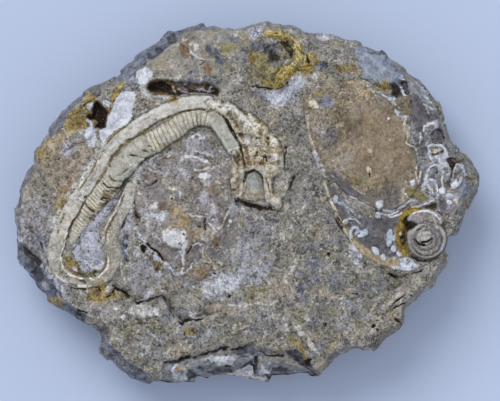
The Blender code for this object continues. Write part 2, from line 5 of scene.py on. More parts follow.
import bpy
import numpy as np
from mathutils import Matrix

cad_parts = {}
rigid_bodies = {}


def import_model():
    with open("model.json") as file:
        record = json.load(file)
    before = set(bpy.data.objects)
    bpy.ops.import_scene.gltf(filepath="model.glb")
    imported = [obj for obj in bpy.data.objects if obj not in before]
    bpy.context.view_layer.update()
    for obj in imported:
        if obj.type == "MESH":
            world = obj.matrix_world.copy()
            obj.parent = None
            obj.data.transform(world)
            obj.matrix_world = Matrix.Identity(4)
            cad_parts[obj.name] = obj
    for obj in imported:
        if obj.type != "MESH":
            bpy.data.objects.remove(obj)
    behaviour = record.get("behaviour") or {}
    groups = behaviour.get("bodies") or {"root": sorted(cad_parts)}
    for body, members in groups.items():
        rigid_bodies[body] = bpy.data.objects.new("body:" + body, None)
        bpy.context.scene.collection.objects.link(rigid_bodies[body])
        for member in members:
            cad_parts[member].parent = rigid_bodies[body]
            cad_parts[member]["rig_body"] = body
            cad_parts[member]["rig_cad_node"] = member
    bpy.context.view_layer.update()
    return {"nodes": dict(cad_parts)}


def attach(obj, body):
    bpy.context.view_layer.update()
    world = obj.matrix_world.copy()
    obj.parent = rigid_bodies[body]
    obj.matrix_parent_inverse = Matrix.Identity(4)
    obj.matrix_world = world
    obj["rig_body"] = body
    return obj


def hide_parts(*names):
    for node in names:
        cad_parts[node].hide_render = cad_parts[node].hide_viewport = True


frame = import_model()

# A fossil worm tube and four shells on a slab of flinty rock, lying face up.
# Marks are placed in pixels of the 500 x 401 photograph. Relief is in millimetres over the slab's low dome.
mm = 0.001
photo = {"middleX": 245.8, "middleY": 202.45, "mmPerPixel": 0.27, "width": 500, "height": 401}
dome = {"top": 25.0, "drop": 4.0, "halfLength": 62.7, "halfWidth": 48.2}
# one mask is painted shade: near-black in crevices, pits, gaps and grooves and under overhangs
maskNames = ["band", "green", "grey", "chalk", "pale", "cream", "warm", "ochre", "rust", "olive",
             "slate", "flint", "glass", "chert", "soot", "calm"]


def toMillimetres(px, py):
    scale = photo["mmPerPixel"]
    return (px - photo["middleX"]) * scale, (photo["middleY"] - py) * scale


def toPixels(x, y):
    scale = photo["mmPerPixel"]
    return x / scale + photo["middleX"], photo["middleY"] - y / scale


def domeHeight(x, y):
    return dome["top"] - dome["drop"] * ((x / dome["halfLength"]) ** 2 + (y / dome["halfWidth"]) ** 2)


def smooth(low, high, value):
    share = np.clip((value - low) / (high - low), 0, 1)
    return share * share * (3 - 2 * share)


# Noise
def scramble(ix, iy, iz, seed):
    n = ix.astype(np.uint32) * np.uint32(374761393) + iy.astype(np.uint32) * np.uint32(668265263)
    n = n + iz.astype(np.uint32) * np.uint32(2246822519) + np.uint32(seed * 974711 + 1013)
    n = (n ^ (n >> np.uint32(13))) * np.uint32(1274126177)
    n = (n ^ (n >> np.uint32(16))) * np.uint32(2654435769)
    return (n >> np.uint32(8)).astype(np.float64) / 16777216.0


def grain(x, y, z, seed):
    # smooth random values between the whole numbers
    ix, iy, iz = np.floor(x).astype(np.int64), np.floor(y).astype(np.int64), np.floor(z).astype(np.int64)
    ux, uy, uz = (smooth(0, 1, v - i) for v, i in ((x, ix), (y, iy), (z, iz)))
    total = np.zeros(np.shape(x))
    flat = not np.any(z)
    for dx in (0, 1):
        for dy in (0, 1):
            for dz in (0,) if flat else (0, 1):
                share = (ux if dx else 1 - ux) * (uy if dy else 1 - uy) * (uz if dz else 1 - uz)
                total += scramble(ix + dx, iy + dy, iz + dz, seed) * share
    return total


def rough(x, y, size, octaves, seed, z=None, keep=0.5):
    # layered noise between about -1 and 1, its largest lumps of the size given
    z = np.zeros(np.shape(x)) if z is None else z
    total, amount, whole = 0, 1.0, 0
    for octave in range(octaves):
        scale = 2**octave / size
        total = total + amount * (2 * grain(x * scale, y * scale, z * scale, seed + octave) - 1)
        whole += amount
        amount *= keep
    return total / whole


def cells(x, y, size, seed):
    # distance to the nearest of a field of scattered points, in cell sizes
    gx, gy = x / size, y / size
    ix, iy = np.floor(gx).astype(np.int64), np.floor(gy).astype(np.int64)
    zero = np.zeros(ix.shape, np.int64)
    best = np.full(x.shape, 9.0)
    for dx, dy in itertools.product((-1, 0, 1), repeat=2):
        cx, cy = ix + dx, iy + dy
        offX = cx + scramble(cx, cy, zero, seed) - gx
        offY = cy + scramble(cx, cy, zero, seed + 1) - gy
        best = np.minimum(best, np.hypot(offX, offY))
    return best


def chipRelief(x, y, z, size, seed):
    # each point takes the tilt of its nearest scattered centre, which gives flat chips meeting in creases
    place = [v / size for v in (x, y, z)]
    corner = [np.floor(v).astype(np.int64) for v in place]
    best, relief = np.full(x.shape, 9.0), np.zeros(x.shape)
    for step in itertools.product((-1, 0, 1), repeat=3):
        centre = [i + s for i, s in zip(corner, step)]
        off = [c + scramble(*centre, seed + k) - v for k, (c, v) in enumerate(zip(centre, place))]
        away = np.sqrt(off[0]**2 + off[1]**2 + off[2]**2)
        tilt = sum(o * (2 * scramble(*centre, seed + 3 + k) - 1) for k, o in enumerate(off))
        relief = np.where(away < best, tilt + scramble(*centre, seed + 6) - 0.5, relief)
        best = np.minimum(best, away)
    return relief


def sawtooth(value):
    # climbs from 0 to 1 and drops back
    return value - np.floor(value)


# Marks: a line, an area or a spot on the face. Widths and soft edges are in pixels, lift is its relief in
# millimetres, and its colours go from 0 to 1. A colour below zero takes that much of the colour away.
def path(text):
    # points as "x,y x,y ...", where a point may have more numbers than two
    return [tuple(float(number) for number in point.split(",")) for point in text.split()]


def line(points, wide, soft=1.0, lift=0.0, **more):
    return {"kind": "line", "points": path(points), "wide": wide, "soft": soft, "lift": lift, "more": more}


def area(points, soft=1.5, lift=0.0, **more):
    return {"kind": "area", "points": path(points), "wide": 0, "soft": soft, "lift": lift, "more": more}


def spot(x, y, rx, ry, turn=0, soft=0.35, lift=0.0, **more):
    reach = max(rx, ry)
    corners = [(x - reach, y - reach), (x + reach, y + reach)]
    return {"kind": "spot", "points": corners, "wide": 0, "soft": soft, "lift": lift, "more": more,
            "middle": (x, y), "radii": (rx, ry), "turn": math.radians(turn)}


def lineDistance(x, y, points):
    best = np.full(x.shape, 1e9)
    for (ax, ay), (bx, by) in zip(points, points[1:]):
        dx, dy = bx - ax, by - ay
        share = np.clip(((x - ax) * dx + (y - ay) * dy) / (dx * dx + dy * dy + 1e-9), 0, 1)
        best = np.minimum(best, np.hypot(x - ax - dx * share, y - ay - dy * share))
    return best


def insideDepth(x, y, outline):
    # how far inside a closed outline, below zero outside it
    odd = np.zeros(x.shape, bool)
    for (ax, ay), (bx, by) in zip(outline, outline[1:] + outline[:1]):
        if ay != by:
            odd ^= ((ay > y) != (by > y)) & (x < ax + (y - ay) * (bx - ax) / (by - ay))
    away = lineDistance(x, y, outline + outline[:1])
    return np.where(odd, away, -away)


def signedSide(x, y, points):
    # distance to a line, whether a point is on the left of its travel as seen in the photograph's frame
    best, side, along = np.full(x.shape, 1e9), np.zeros(x.shape), np.zeros(x.shape)
    count = len(points) - 1
    for i, ((ax, ay), (bx, by)) in enumerate(zip(points, points[1:])):
        dx, dy = bx - ax, by - ay
        share = np.clip(((x - ax) * dx + (y - ay) * dy) / (dx * dx + dy * dy), 0, 1)
        away = np.hypot(x - ax - dx * share, y - ay - dy * share)
        nearer = away < best
        turn = dx * (y - ay) - dy * (x - ax)
        side = np.where(nearer, -np.sign(turn), side)
        along = np.where(nearer, (i + share) / count, along)
        best = np.minimum(best, away)
    return best, side, along


class Canvas:
    # a patch of the face seen from above, as grids of relief and of colour masks
    def __init__(self, left, top, right, bottom, step, wobble, seed):
        self.left, self.top, self.step = left, top, step
        columns, rows = round((right - left) / step) + 1, round((bottom - top) / step) + 1
        self.px, self.py = np.meshgrid(left + step * np.arange(columns), top + step * np.arange(rows))
        self.x, self.y = toMillimetres(self.px, self.py)
        # marks are drawn at shaken places, so that their edges wander, and neither lines nor areas are even
        self.wx = self.px + wobble * (self.waver(7, 3, seed) + 0.5 * self.waver(2.2, 2, seed + 5))
        self.wy = self.py + wobble * (self.waver(7, 3, seed + 9) + 0.5 * self.waver(2.2, 2, seed + 14))
        self.broken = np.clip(0.78 + 0.75 * self.waver(6, 3, seed + 26, 0.7), 0.1, 1)
        self.patchy = np.clip(0.86 + 0.34 * self.waver(7, 4, seed + 20, 0.7), 0, 1)
        self.softness, self.gain = 0.8, 1.0
        self.height = np.zeros(self.px.shape)
        self.masks = {name: np.zeros(self.px.shape) for name in maskNames}
        self.fields = {}

    def waver(self, size, octaves, seed, keep=0.5):
        # noise with its size in pixels
        return rough(self.px, self.py, size, octaves, seed, keep=keep)

    def noise(self, size, octaves, seed, keep=0.5):
        # noise with its size in millimetres
        return rough(self.x, self.y, size, octaves, seed, keep=keep)

    def depthInside(self, outline):
        # millimetres inside a closed outline, below zero outside it
        return insideDepth(self.wx, self.wy, outline) * photo["mmPerPixel"]

    def strength(self, mark, part):
        x, y = self.wx[part], self.wy[part]
        if mark["kind"] == "line":
            half = mark["wide"] / 2
            return 1 - smooth(half, half + mark["soft"], lineDistance(x, y, mark["points"]))
        if mark["kind"] == "area":
            edge = mark["soft"] * self.softness
            return smooth(-edge, edge, insideDepth(x, y, mark["points"]))
        (cx, cy), (rx, ry), turn = mark["middle"], mark["radii"], mark["turn"]
        u = ((x - cx) * math.cos(turn) + (y - cy) * math.sin(turn)) / rx
        v = ((y - cy) * math.cos(turn) - (x - cx) * math.sin(turn)) / ry
        return 1 - smooth(1 - mark["soft"], 1, np.hypot(u, v))

    def draw(self, marks):
        for mark in marks:
            margin = mark["wide"] / 2 + mark["soft"] + 5
            xs, ys = zip(*mark["points"])
            c0 = max(0, int((min(xs) - margin - self.left) / self.step))
            r0 = max(0, int((min(ys) - margin - self.top) / self.step))
            c1 = int((max(xs) + margin - self.left) / self.step) + 2
            r1 = int((max(ys) + margin - self.top) / self.step) + 2
            part = (slice(r0, max(r0, r1)), slice(c0, max(c0, c1)))
            if self.px[part].size == 0:
                continue
            strength = self.strength(mark, part)
            kept = {"area": self.patchy[part] * self.gain, "line": 1.2, "spot": self.gain}[mark["kind"]]
            if mark["kind"] == "line":
                strength = strength * self.broken[part]
            for name, amount in mark["more"].items():
                if name == "level":
                    self.height[part] += (amount - self.height[part]) * strength
                elif name == "top":
                    raised = amount * strength - 3 * (1 - strength)
                    self.height[part] = np.maximum(self.height[part], raised)
                elif name == "dome":
                    self.height[part] += amount * np.sqrt(np.clip(strength, 0, 1))
                elif amount < 0:
                    self.masks[name][part] *= 1 + amount * strength
                else:
                    self.masks[name][part] = np.maximum(self.masks[name][part], amount * strength * kept)
            self.height[part] += mark["lift"] * strength

    def sample(self, grid, px, py, outside=0.0):
        # a grid's value at any places, read between its points
        rows, columns = grid.shape
        u, v = (px - self.left) / self.step, (py - self.top) / self.step
        inside = (u >= 0) & (v >= 0) & (u <= columns - 1) & (v <= rows - 1)
        u, v = np.clip(u, 0, columns - 1.001), np.clip(v, 0, rows - 1.001)
        i, j = u.astype(int), v.astype(int)
        fu, fv = u - i, v - j
        upper = grid[j, i] * (1 - fu) + grid[j, i + 1] * fu
        lower = grid[j + 1, i] * (1 - fu) + grid[j + 1, i + 1] * fu
        return np.where(inside, upper * (1 - fv) + lower * fv, outside)


def blurred(grid, reach):
    # the mean over a square, three times, so that it falls away softly
    for axis in (0, 1):
        for _ in range(3):
            pad = [(reach + 1, reach) if a == axis else (0, 0) for a in (0, 1)]
            total = np.cumsum(np.pad(grid, pad, mode="edge"), axis=axis)
            ahead = np.take(total, range(2 * reach + 1, total.shape[axis]), axis=axis)
            behind = np.take(total, range(0, total.shape[axis] - 2 * reach - 1), axis=axis)
            grid = (ahead - behind) / (2 * reach + 1)
    return grid


def shrunk(mask, steps):
    # a mask with its rim taken off
    for _ in range(steps):
        inner = mask.copy()
        inner[1:] &= mask[:-1]
        inner[:-1] &= mask[1:]
        inner[:, 1:] &= mask[:, :-1]
        inner[:, :-1] &= mask[:, 1:]
        mask = inner
    return mask


def reached(allowed, start):
    # all the cells that can be walked to from the start cells
    found = start & allowed
    while True:
        wider = found.copy()
        wider[1:] |= found[:-1]
        wider[:-1] |= found[1:]
        wider[:, 1:] |= found[:, :-1]
        wider[:, :-1] |= found[:, 1:]
        wider &= allowed
        if (wider == found).all():
            return found
        found = wider


def solidCells(kept):
    # the largest patch of kept cells, its holes filled and its corner-only contacts taken out
    rim = np.ones(kept.shape, bool)
    rim[1:-1, 1:-1] = False
    kept = kept & ~rim
    best, left = None, kept.copy()
    while left.any():
        seed = np.zeros(kept.shape, bool)
        seed[tuple(np.argwhere(left)[0])] = True
        patch = reached(left, seed)
        left &= ~patch
        if best is None or patch.sum() > best.sum():
            best = patch
        if left.sum() < best.sum():
            break
    kept = ~reached(~best, rim)
    for _ in range(6):
        a, b, c, d = kept[:-1, :-1], kept[:-1, 1:], kept[1:, :-1], kept[1:, 1:]
        touch = (a & d & ~b & ~c) | (b & c & ~a & ~d)
        if not touch.any():
            break
        kept[:-1, :-1] |= touch
        kept[:-1, 1:] |= touch
        kept[1:, :-1] |= touch
        kept[1:, 1:] |= touch
    return kept


# Mesh helpers
def pickOnly(piece):
    bpy.ops.object.select_all(action="DESELECT")
    piece.select_set(True)
    bpy.context.view_layer.objects.active = piece


def vectors(items, name):
    flat = np.empty(len(items) * 3)
    items.foreach_get(name, flat)
    return flat.reshape(-1, 3)


def writeField(mesh, name, values):
    field = mesh.attributes.get(name) or mesh.attributes.new(name, "FLOAT", "POINT")
    field.data.foreach_set("value", np.asarray(values, np.float32).ravel())


def selectFaces(mesh, chosen):
    # done in object mode: only the chosen faces are selected afterwards
    mesh.vertices.foreach_set("select", np.zeros(len(mesh.vertices), bool))
    mesh.edges.foreach_set("select", np.zeros(len(mesh.edges), bool))
    mesh.polygons.foreach_set("select", np.asarray(chosen, bool))


def sculpt(name, canvas, sunk=-1.1, base=2.2):
    # a closed piece: a fine grid raised to the canvas's relief, cut where it has sunk into the rock,
    # and closed below
    rows, columns = canvas.height.shape
    bpy.ops.object.select_all(action="DESELECT")
    bpy.ops.mesh.primitive_grid_add(x_subdivisions=columns - 1, y_subdivisions=rows - 1, size=1)
    piece = bpy.context.object
    piece.name = name
    mesh = piece.data
    places = vectors(mesh.vertices, "co")
    column = np.rint((places[:, 0] + 0.5) * (columns - 1)).astype(int)
    row = np.rint((0.5 - places[:, 1]) * (rows - 1)).astype(int)
    centres = vectors(mesh.polygons, "center")
    faceColumn = np.floor((centres[:, 0] + 0.5) * (columns - 1)).astype(int)
    faceRow = np.floor((0.5 - centres[:, 1]) * (rows - 1)).astype(int)
    low = canvas.height > sunk
    kept = solidCells(low[:-1, :-1] | low[1:, :-1] | low[:-1, 1:] | low[1:, 1:])
    height = domeHeight(canvas.x, canvas.y) + np.maximum(canvas.height, sunk - 0.4)
    solid = np.stack([canvas.x[row, column], canvas.y[row, column], height[row, column]], 1)
    mesh.vertices.foreach_set("co", (solid * mm).ravel())
    for field, values in {**canvas.masks, **canvas.fields}.items():
        if field in canvas.fields or values.max() > 0:
            writeField(mesh, field, values[row, column])
    selectFaces(mesh, ~kept[faceRow, faceColumn])
    bpy.ops.object.mode_set(mode="EDIT")
    bpy.ops.mesh.select_mode(type="FACE")
    bpy.ops.mesh.delete(type="FACE")
    bpy.ops.mesh.select_mode(type="EDGE")
    bpy.ops.mesh.select_non_manifold(extend=False, use_wire=False, use_multi_face=False,
                                     use_non_contiguous=False, use_verts=False)
    bpy.ops.mesh.extrude_region_move(TRANSFORM_OT_translate={"value": (0, 0, -base * mm)})
    bpy.ops.object.mode_set(mode="OBJECT")
    picked = np.empty(len(mesh.vertices), bool)
    mesh.vertices.foreach_get("select", picked)
    places = vectors(mesh.vertices, "co")
    places[picked, 2] = places[picked, 2].min()
    mesh.vertices.foreach_set("co", places.ravel())
    bpy.ops.object.mode_set(mode="EDIT")
    bpy.ops.mesh.fill_holes(sides=0)
    bpy.ops.mesh.select_all(action="SELECT")
    bpy.ops.mesh.normals_make_consistent(inside=False)
    bpy.ops.object.mode_set(mode="OBJECT")
    bpy.ops.object.shade_smooth()
    return piece


def settle(canvas, reach, depth, floor=-0.8, crest=1.0):
    # how far each point stands above or below its surroundings, for painted shade with dirt in hollows and
    # painted highlights with wear on ridges
    level = np.maximum(canvas.height, floor)
    canvas.fields["hollow"] = np.clip((level - blurred(level, reach)) / depth, -1, crest)


# Materials
def colour(tone):
    def linear(value):
        share = value / 255
        return share / 12.92 if share <= 0.04045 else ((share + 0.055) / 1.055) ** 2.4
    return tuple(linear(v) for v in tone) + (1.0,)


class Graph:
    # a material's nodes, made one at a time
    def __init__(self, name):
        self.material = bpy.data.materials.new(name)
        self.material.use_nodes = True
        self.tree = self.material.node_tree
        self.tree.nodes.clear()
        self.place = self.add("ShaderNodeTexCoord").outputs["Object"]

    def add(self, kind, **settings):
        node = self.tree.nodes.new(kind)
        for key, value in settings.items():
            setattr(node, key, value)
        return node

    def feed(self, socket, value):
        if isinstance(value, bpy.types.NodeSocket):
            self.tree.links.new(value, socket)
        else:
            socket.default_value = value

    def noise(self, size, seed, detail=3.0, keep=0.6, swirl=0.0):
        node = self.add("ShaderNodeTexNoise", noise_dimensions="4D")
        self.feed(node.inputs["Vector"], self.place)
        self.feed(node.inputs["Distortion"], swirl)
        self.feed(node.inputs["W"], seed * 3.7)
        self.feed(node.inputs["Scale"], 1 / (size * mm))
        self.feed(node.inputs["Detail"], detail)
        self.feed(node.inputs["Roughness"], keep)
        return node.outputs["Fac"]

    def greys(self, value, contrast):
        # a grey that darkens or lightens what it overlays, one half being neutral
        node = self.add("ShaderNodeValToRGB")
        ramp = node.color_ramp
        stops = [(0.0, -0.46), (0.2, -0.34), (0.38, -0.1), (0.5, 0.0),
                 (0.66, 0.1), (0.82, 0.3), (1.0, 0.46)]
        while len(ramp.elements) < len(stops):
            ramp.elements.new(0.5)
        for element, (at, shift) in zip(ramp.elements, stops):
            element.position = at
            element.color = (0.5 + shift * contrast,) * 3 + (1.0,)
        self.feed(node.inputs["Fac"], value)
        return node.outputs["Color"]

    def field(self, name):
        return self.add("ShaderNodeAttribute", attribute_name=name).outputs["Fac"]

    def spread(self, value, low, high, start=0.0, end=1.0, kind="SMOOTHSTEP"):
        node = self.add("ShaderNodeMapRange", interpolation_type=kind)
        for socket, amount in zip(node.inputs, (value, low, high, start, end)):
            self.feed(socket, amount)
        return node.outputs["Result"]

    def work(self, operation, a, b=0.0):
        node = self.add("ShaderNodeMath", operation=operation)
        self.feed(node.inputs[0], a)
        self.feed(node.inputs[1], b)
        return node.outputs[0]

    def plus(self, a, b):
        return self.work("ADD", a, b)

    def times(self, a, b):
        return self.work("MULTIPLY", a, b)

    def swing(self, value, amount):
        # a noise that swings to both sides of zero
        return self.times(self.work("SUBTRACT", value, 0.5), amount)

    def fold(self, value):
        # how far a value is from one half
        return self.work("ABSOLUTE", self.work("SUBTRACT", value, 0.5))

    def mix(self, share, a, b, way="MIX"):
        node = self.add("ShaderNodeMix", data_type="RGBA", blend_type=way)
        self.feed(node.inputs["Factor"], share)
        for socket, value in ((node.inputs[6], a), (node.inputs[7], b)):
            self.feed(socket, value if isinstance(value, bpy.types.NodeSocket) else colour(value))
        return node.outputs[2]

    def surface(self, tone, gloss, specular, normal=None):
        shader = self.add("ShaderNodeBsdfPrincipled")
        self.feed(shader.inputs["Base Color"], tone)
        self.feed(shader.inputs["Roughness"], gloss)
        self.feed(shader.inputs["Specular IOR Level"], specular)
        if normal is not None:
            self.feed(shader.inputs["Normal"], normal)
        out = self.add("ShaderNodeOutputMaterial")
        self.feed(out.inputs["Surface"], shader.outputs["BSDF"])
        return self.material


def stoneMaterial(look):
    # patches of related stone colours, then each mask's colours with ragged edges, then lines, grains,
    # specks, painted shade with dirt in hollows, painted highlights on ridges, and near-black painted deep
    # shade
    g = Graph(look["name"])
    shade = g.mix(g.spread(g.noise(look["mottle"], 1, 6.0, 0.72, 0.8), 0.4, 0.6), *look["tones"])
    for size, seed, low, high, tone, amount in look["stains"]:
        stain = g.spread(g.noise(size, seed, 6.0, 0.72, 0.9), low, high, 0.0, amount)
        shade = g.mix(stain, shade, tone)
    for size, seed, width, tone, amount in look["veins"]:
        vein = g.fold(g.noise(size, seed, 4.0, 0.6, 1.2))
        shade = g.mix(g.spread(vein, width, width * 0.3, 0.0, amount), shade, tone)
    gloss = look["roughness"]
    large, medium, small = (g.noise(*settings) for settings in look["edgeNoises"])
    shaken = g.swing(small, 1.2)
    wanders = [
        g.plus(g.plus(g.swing(large, 1.5), g.swing(medium, 1.5)), shaken),
        g.work("SUBTRACT", shaken, g.plus(g.swing(large, 1.1), g.swing(medium, 1.8))),
    ]
    second = g.spread(g.noise(look["grain"] * 1.6, 23, 5.0, 0.78), 0.36, 0.64)
    for index, (mask, low, high, edge, smoothness) in enumerate(look["layers"]):
        wander = g.times(wanders[index % 2], look["ragged"].get(mask, look["ragged"]["rest"]))
        share = g.spread(g.plus(g.field(mask), wander), 0.5 - edge, 0.5 + edge)
        shade = g.mix(share, shade, g.mix(second, low, high))
        if smoothness is not None:
            gloss = g.spread(share, 0.0, 1.0, gloss, smoothness, "LINEAR")
    # grooves between ribs and growth lines: darker in the grooves, partly their own colour and partly
    # painted shade, and painted highlights on the crests
    if "lines" in look:
        phase = g.plus(g.field("linePhase"), g.times(g.noise(0.9, 31, 2.0), look["lines"]["waver"]))
        wave = g.fold(g.work("FRACT", phase))
        drawn = g.field("lines")
        groove = g.times(g.spread(wave, *look["lines"]["edge"]), drawn)
        crest = g.times(g.spread(wave, 0.22, 0.05, 0.0, 0.35), drawn)
        shade = g.mix(groove, shade, look["lines"]["tone"])
        shade = g.mix(crest, shade, look["ridgeWearAndHighlightTone"])
    # the grains: lighter and darker from a few millimetres down to the finest
    coarse = g.spread(g.noise(look["grain"] * 3, 2, 5.0, 0.95), 0.38, 0.62, kind="LINEAR")
    fine = g.spread(g.noise(look["grain"] * 0.5, 5, 1.0, 0.7), 0.34, 0.66, kind="LINEAR")
    blend = g.plus(g.times(coarse, 1 - look["fine"]), g.times(fine, look["fine"]))
    grainy = g.spread(g.plus(g.field("calm"), g.times(shaken, 0.6)), 0.1, 0.9, 1.0, 0.36)
    shade = g.mix(grainy, shade, g.greys(blend, look["contrast"]), "OVERLAY")
    # dark pits and light flecks, closer together in some places
    clusters = g.swing(g.noise(6, 41, 3.0), 0.35)
    pit = g.plus(g.noise(look["speckSize"], 51, 2.0, 0.6), clusters)
    fleck = g.work("SUBTRACT", g.noise(look["speckSize"] * 1.3, 57, 3.0, 0.7), clusters)
    pits = g.spread(pit, 0.69 - look["darkSpecks"], 0.74 - look["darkSpecks"], 0.0, 0.8)
    flecks = g.spread(fleck, 0.69 - look["lightSpecks"], 0.74 - look["lightSpecks"], 0.0, 0.7)
    shade = g.mix(g.times(pits, grainy), shade, look["speckTones"][0])
    shade = g.mix(g.times(flecks, grainy), shade, look["speckTones"][1])
    # painted shade with dirt in hollows, painted highlights with wear on ridges, and near-black painted
    # deep shade with some flecks left in it
    hollow = g.plus(g.field("hollow"), shaken)
    shade = g.mix(g.spread(hollow, -0.2, -1.0, 0.0, look["dirtAndShade"]), shade, look["dirtAndShadeTone"])
    shade = g.mix(g.spread(hollow, 0.25, 1.0, 0.0, look["ridge"]), shade, look["ridgeWearAndHighlightTone"])
    # painted deep shade: the near-black mask darkens crevices, pits, gaps and the ground under overhangs
    deep = g.spread(g.plus(g.field("soot"), g.times(wanders[0], 0.5)), 0.38, 0.6)
    shade = g.mix(deep, shade, g.mix(g.spread(small, 0.42, 0.66), *look["sootTones"]))
    shade = g.mix(g.times(g.times(flecks, deep), 0.75), shade, look["speckTones"][1])
    bump = g.add("ShaderNodeBump")
    g.feed(bump.inputs["Strength"], look["bump"])
    g.feed(bump.inputs["Distance"], look["bumpDepth"] * mm)
    g.feed(bump.inputs["Height"], g.times(g.plus(coarse, g.times(fine, 0.6)), grainy))
    return g.surface(shade, gloss, look["specular"], bump.outputs["Normal"])


def dress(piece, look, node):
    piece.data.materials.clear()
    piece.data.materials.append(stoneMaterial(look))
    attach(piece, "root")
    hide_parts(node)


# the look that all the others start from: sizes in millimetres, tones as red, green and blue up to 255
plainStone = {
    "mottle": 7, "grain": 1.1, "contrast": 0.98, "fine": 0.45, "roughness": 0.88,
    "ragged": {"rest": 0.85},
    "tones": [(121, 118, 108), (147, 143, 136)],
    # stains: size, seed, where they start and are full, tone and strength; veins have a width instead
    "stains": [(9, 3, 0.5, 0.57, (128, 130, 136), 0.65), (7, 4, 0.53, 0.6, (160, 148, 124), 0.7),
               (6, 6, 0.54, 0.61, (116, 110, 84), 0.75), (4.4, 7, 0.56, 0.61, (84, 83, 84), 0.75),
               (3.2, 8, 0.56, 0.61, (190, 187, 181), 0.75)],
    "veins": [(13, 12, 0.01, (180, 171, 150), 0.55), (7, 13, 0.008, (88, 79, 62), 0.5)],
    "speckSize": 0.8, "darkSpecks": 0.045, "lightSpecks": 0.03,
    "speckTones": [(48, 43, 38), (212, 210, 204)],
    # painted shade with dirt in hollows, and painted highlights with wear on ridges
    "dirtAndShade": 0.75, "dirtAndShadeTone": (60, 53, 42), "ridge": 0.4, "ridgeWearAndHighlightTone": (200, 197, 190),
    # tones of the near-black painted deep shade
    "sootTones": [(17, 13, 10), (70, 54, 38)],
    # the noises that shake the edges of the colours: size, seed, detail and roughness
    "edgeNoises": [(4.5, 9, 3.0, 0.6), (1.5, 11, 4.0, 0.75), (0.6, 17, 3.0, 0.8)],
    "bump": 0.9, "bumpDepth": 0.3, "specular": 0.3,
}


# The worm tube
tube = {
    # the edges and the step of its grid in pixels, how far its marks are shaken, and its seed
    "canvas": (40, 88, 300, 296, 0.75, 0.8, 300),
    # stations along each run: x and y in pixels, half width and height in millimetres, and how white it is
    "band": path("207,102.5,1.5,2.5,0.9 191.7,103,1.6,2.6,0.95 175.8,107,1.6,2.6,0.95 "
                 "158.3,114.5,1.65,2.6,1 143.9,122.5,1.6,2.55,1 130,132,1.45,2.5,1 118.5,141,1.35,2.4,1 "
                 "109.5,151,1.35,2.3,1 102,162,1.4,2.2,0.95 96.5,172,1.4,2.1,0.9 90.5,181,1.5,2,0.85 "
                 "83.5,190.5,1.7,2,0.7 76.5,201,1.85,1.9,0.66 70.5,211,1.95,1.8,0.7 65,221,2,1.7,0.7 "
                 "60.5,231,2.05,1.45,0.6 57.5,241,2,1.2,0.5 55.5,251,1.9,1,0.4 56,261,1.9,0.9,0.35 "
                 "60,270,1.8,0.8,0.25 68,277.5,1.6,0.75,0.2 79,282,1.3,0.7,0.2 92,282.5,1.2,0.7,0.1 "
                 "102,278,1.5,0.7,0.1 110,270,1.6,0.75,0.1 114,259,1.75,0.8,0.1 113.5,248,1.8,0.85,0.15 "
                 "111.5,237,1.8,0.9,0.2 114.5,224,1.7,1,0.3 121,211,1.9,1.1,0.45 127,199,1.7,1.2,0.55 "
                 "131,187,1.2,1.2,0.5"),
    "web": path("66,250,0.8,0.5,0 70,235,0.9,0.8,0 76,220,0.9,1,0 85,204,1,1.3,0 96,186,1.2,1.7,0 "
                "108,167,1.5,1.9,0 119,150,1.5,1.8,0 133,139.5,1.5,2.1,0 146,130.5,1.6,2.3,0 "
                "160,122.5,1.6,2.4,0 174,116,1.4,2.4,0 186,112,1.2,2.3,0 200,110,1.2,2.3,0"),
    "ribbed": path("70.5,246,0.9,0.8,0 73.5,238,1.3,1.1,0 78,228,1.7,1.5,0 84.5,217.5,2.1,1.9,0 "
                   "92,207,2.4,2.3,0 100.5,196.5,2.7,2.7,0 109,186,2.8,2.9,0 115.5,176,2.9,3,0 "
                   "124,165,3.05,3.1,0 137,151,3.1,3.2,0 149,143.5,3.1,3.2,0 161,136.5,3,3.2,0 "
                   "173,129,2.9,3.2,0 186,120.5,2.5,3.2,0 197,117,2.25,3.1,0 208,118,2.1,3.1,0 "
                   "215,122,1.9,3,0"),
    "arm": path("213,118,1.7,2.9,0 219,125,1.8,3,0 225,134,1.75,2.95,0 230,142,1.7,2.85,0 "
                "233.5,149,1.6,2.8,0"),
    "knob": path("236.5,156,1.6,2.2,0 238,166,1.9,2.4,0 238.5,176,2.15,2.6,0 237.5,187,1.9,2.4,0 "
                 "238.5,195,1.2,2,0"),
    "crust": path("206,104,1.2,2.4,0 219,108.5,1.9,3,0 233,117,2.7,3.5,0 246,129,3.5,3.9,0 "
                  "256,142,4.3,4.2,0 263,155,5,4.4,0 264.5,168,4.9,4.3,0"),
    "lip": path("268,176,1.3,3.5,0 269,184,1.2,3.2,0 270,192,1.2,3,0 273,199,1.4,2.8,0 "
                "277,202.5,1.4,2.6,0"),
    # how fast each run falls away beyond its half width, and how high its arch springs
    "slope": {"band": 2.2, "web": 2.0, "ribbed": 2.4, "arm": 4, "knob": 3.0, "crust": 2.6, "lip": 2.6},
    "springing": {"ribbed": 0.45, "knob": 0.6, "crust": 0.6, "lip": 0.6},
    # how strong the ribs are at distances along the ribbed tube, in millimetres
    "ribAt": [0, 3, 6, 19, 22, 34, 37, 52],
    "ribStrength": [0.0, 0.5, 1.1, 1.1, 0.15, 0.12, 1.0, 0.95],
    # the count of ribs passed at distances along the ribbed tube, and the depth of the grooves between them
    "countAt": [0, 20, 36, 56],
    "count": [0, 22, 36.5, 52.5],
    "ribDepth": 0.4,
    # how far the ribs lean over at distances along the ribbed tube
    "leanAt": [0, 20, 36, 52],
    "lean": [-0.5, -0.5, -0.35, -0.15],
}


def splined(stations):
    # the stations with points between them on a smooth curve
    points = np.array(stations, float)
    points = np.vstack([2 * points[0] - points[1], points, 2 * points[-1] - points[-2]])
    made = []
    for a, b, c, d in zip(points, points[1:], points[2:], points[3:]):
        for t in np.arange(0, 1, 0.2):
            made.append(0.5 * (2 * b + (c - a) * t + (2 * a - 5 * b + 4 * c - d) * t**2
                               + (3 * b - a - 3 * c + d) * t**3))
    return np.array(made + [points[-2]])


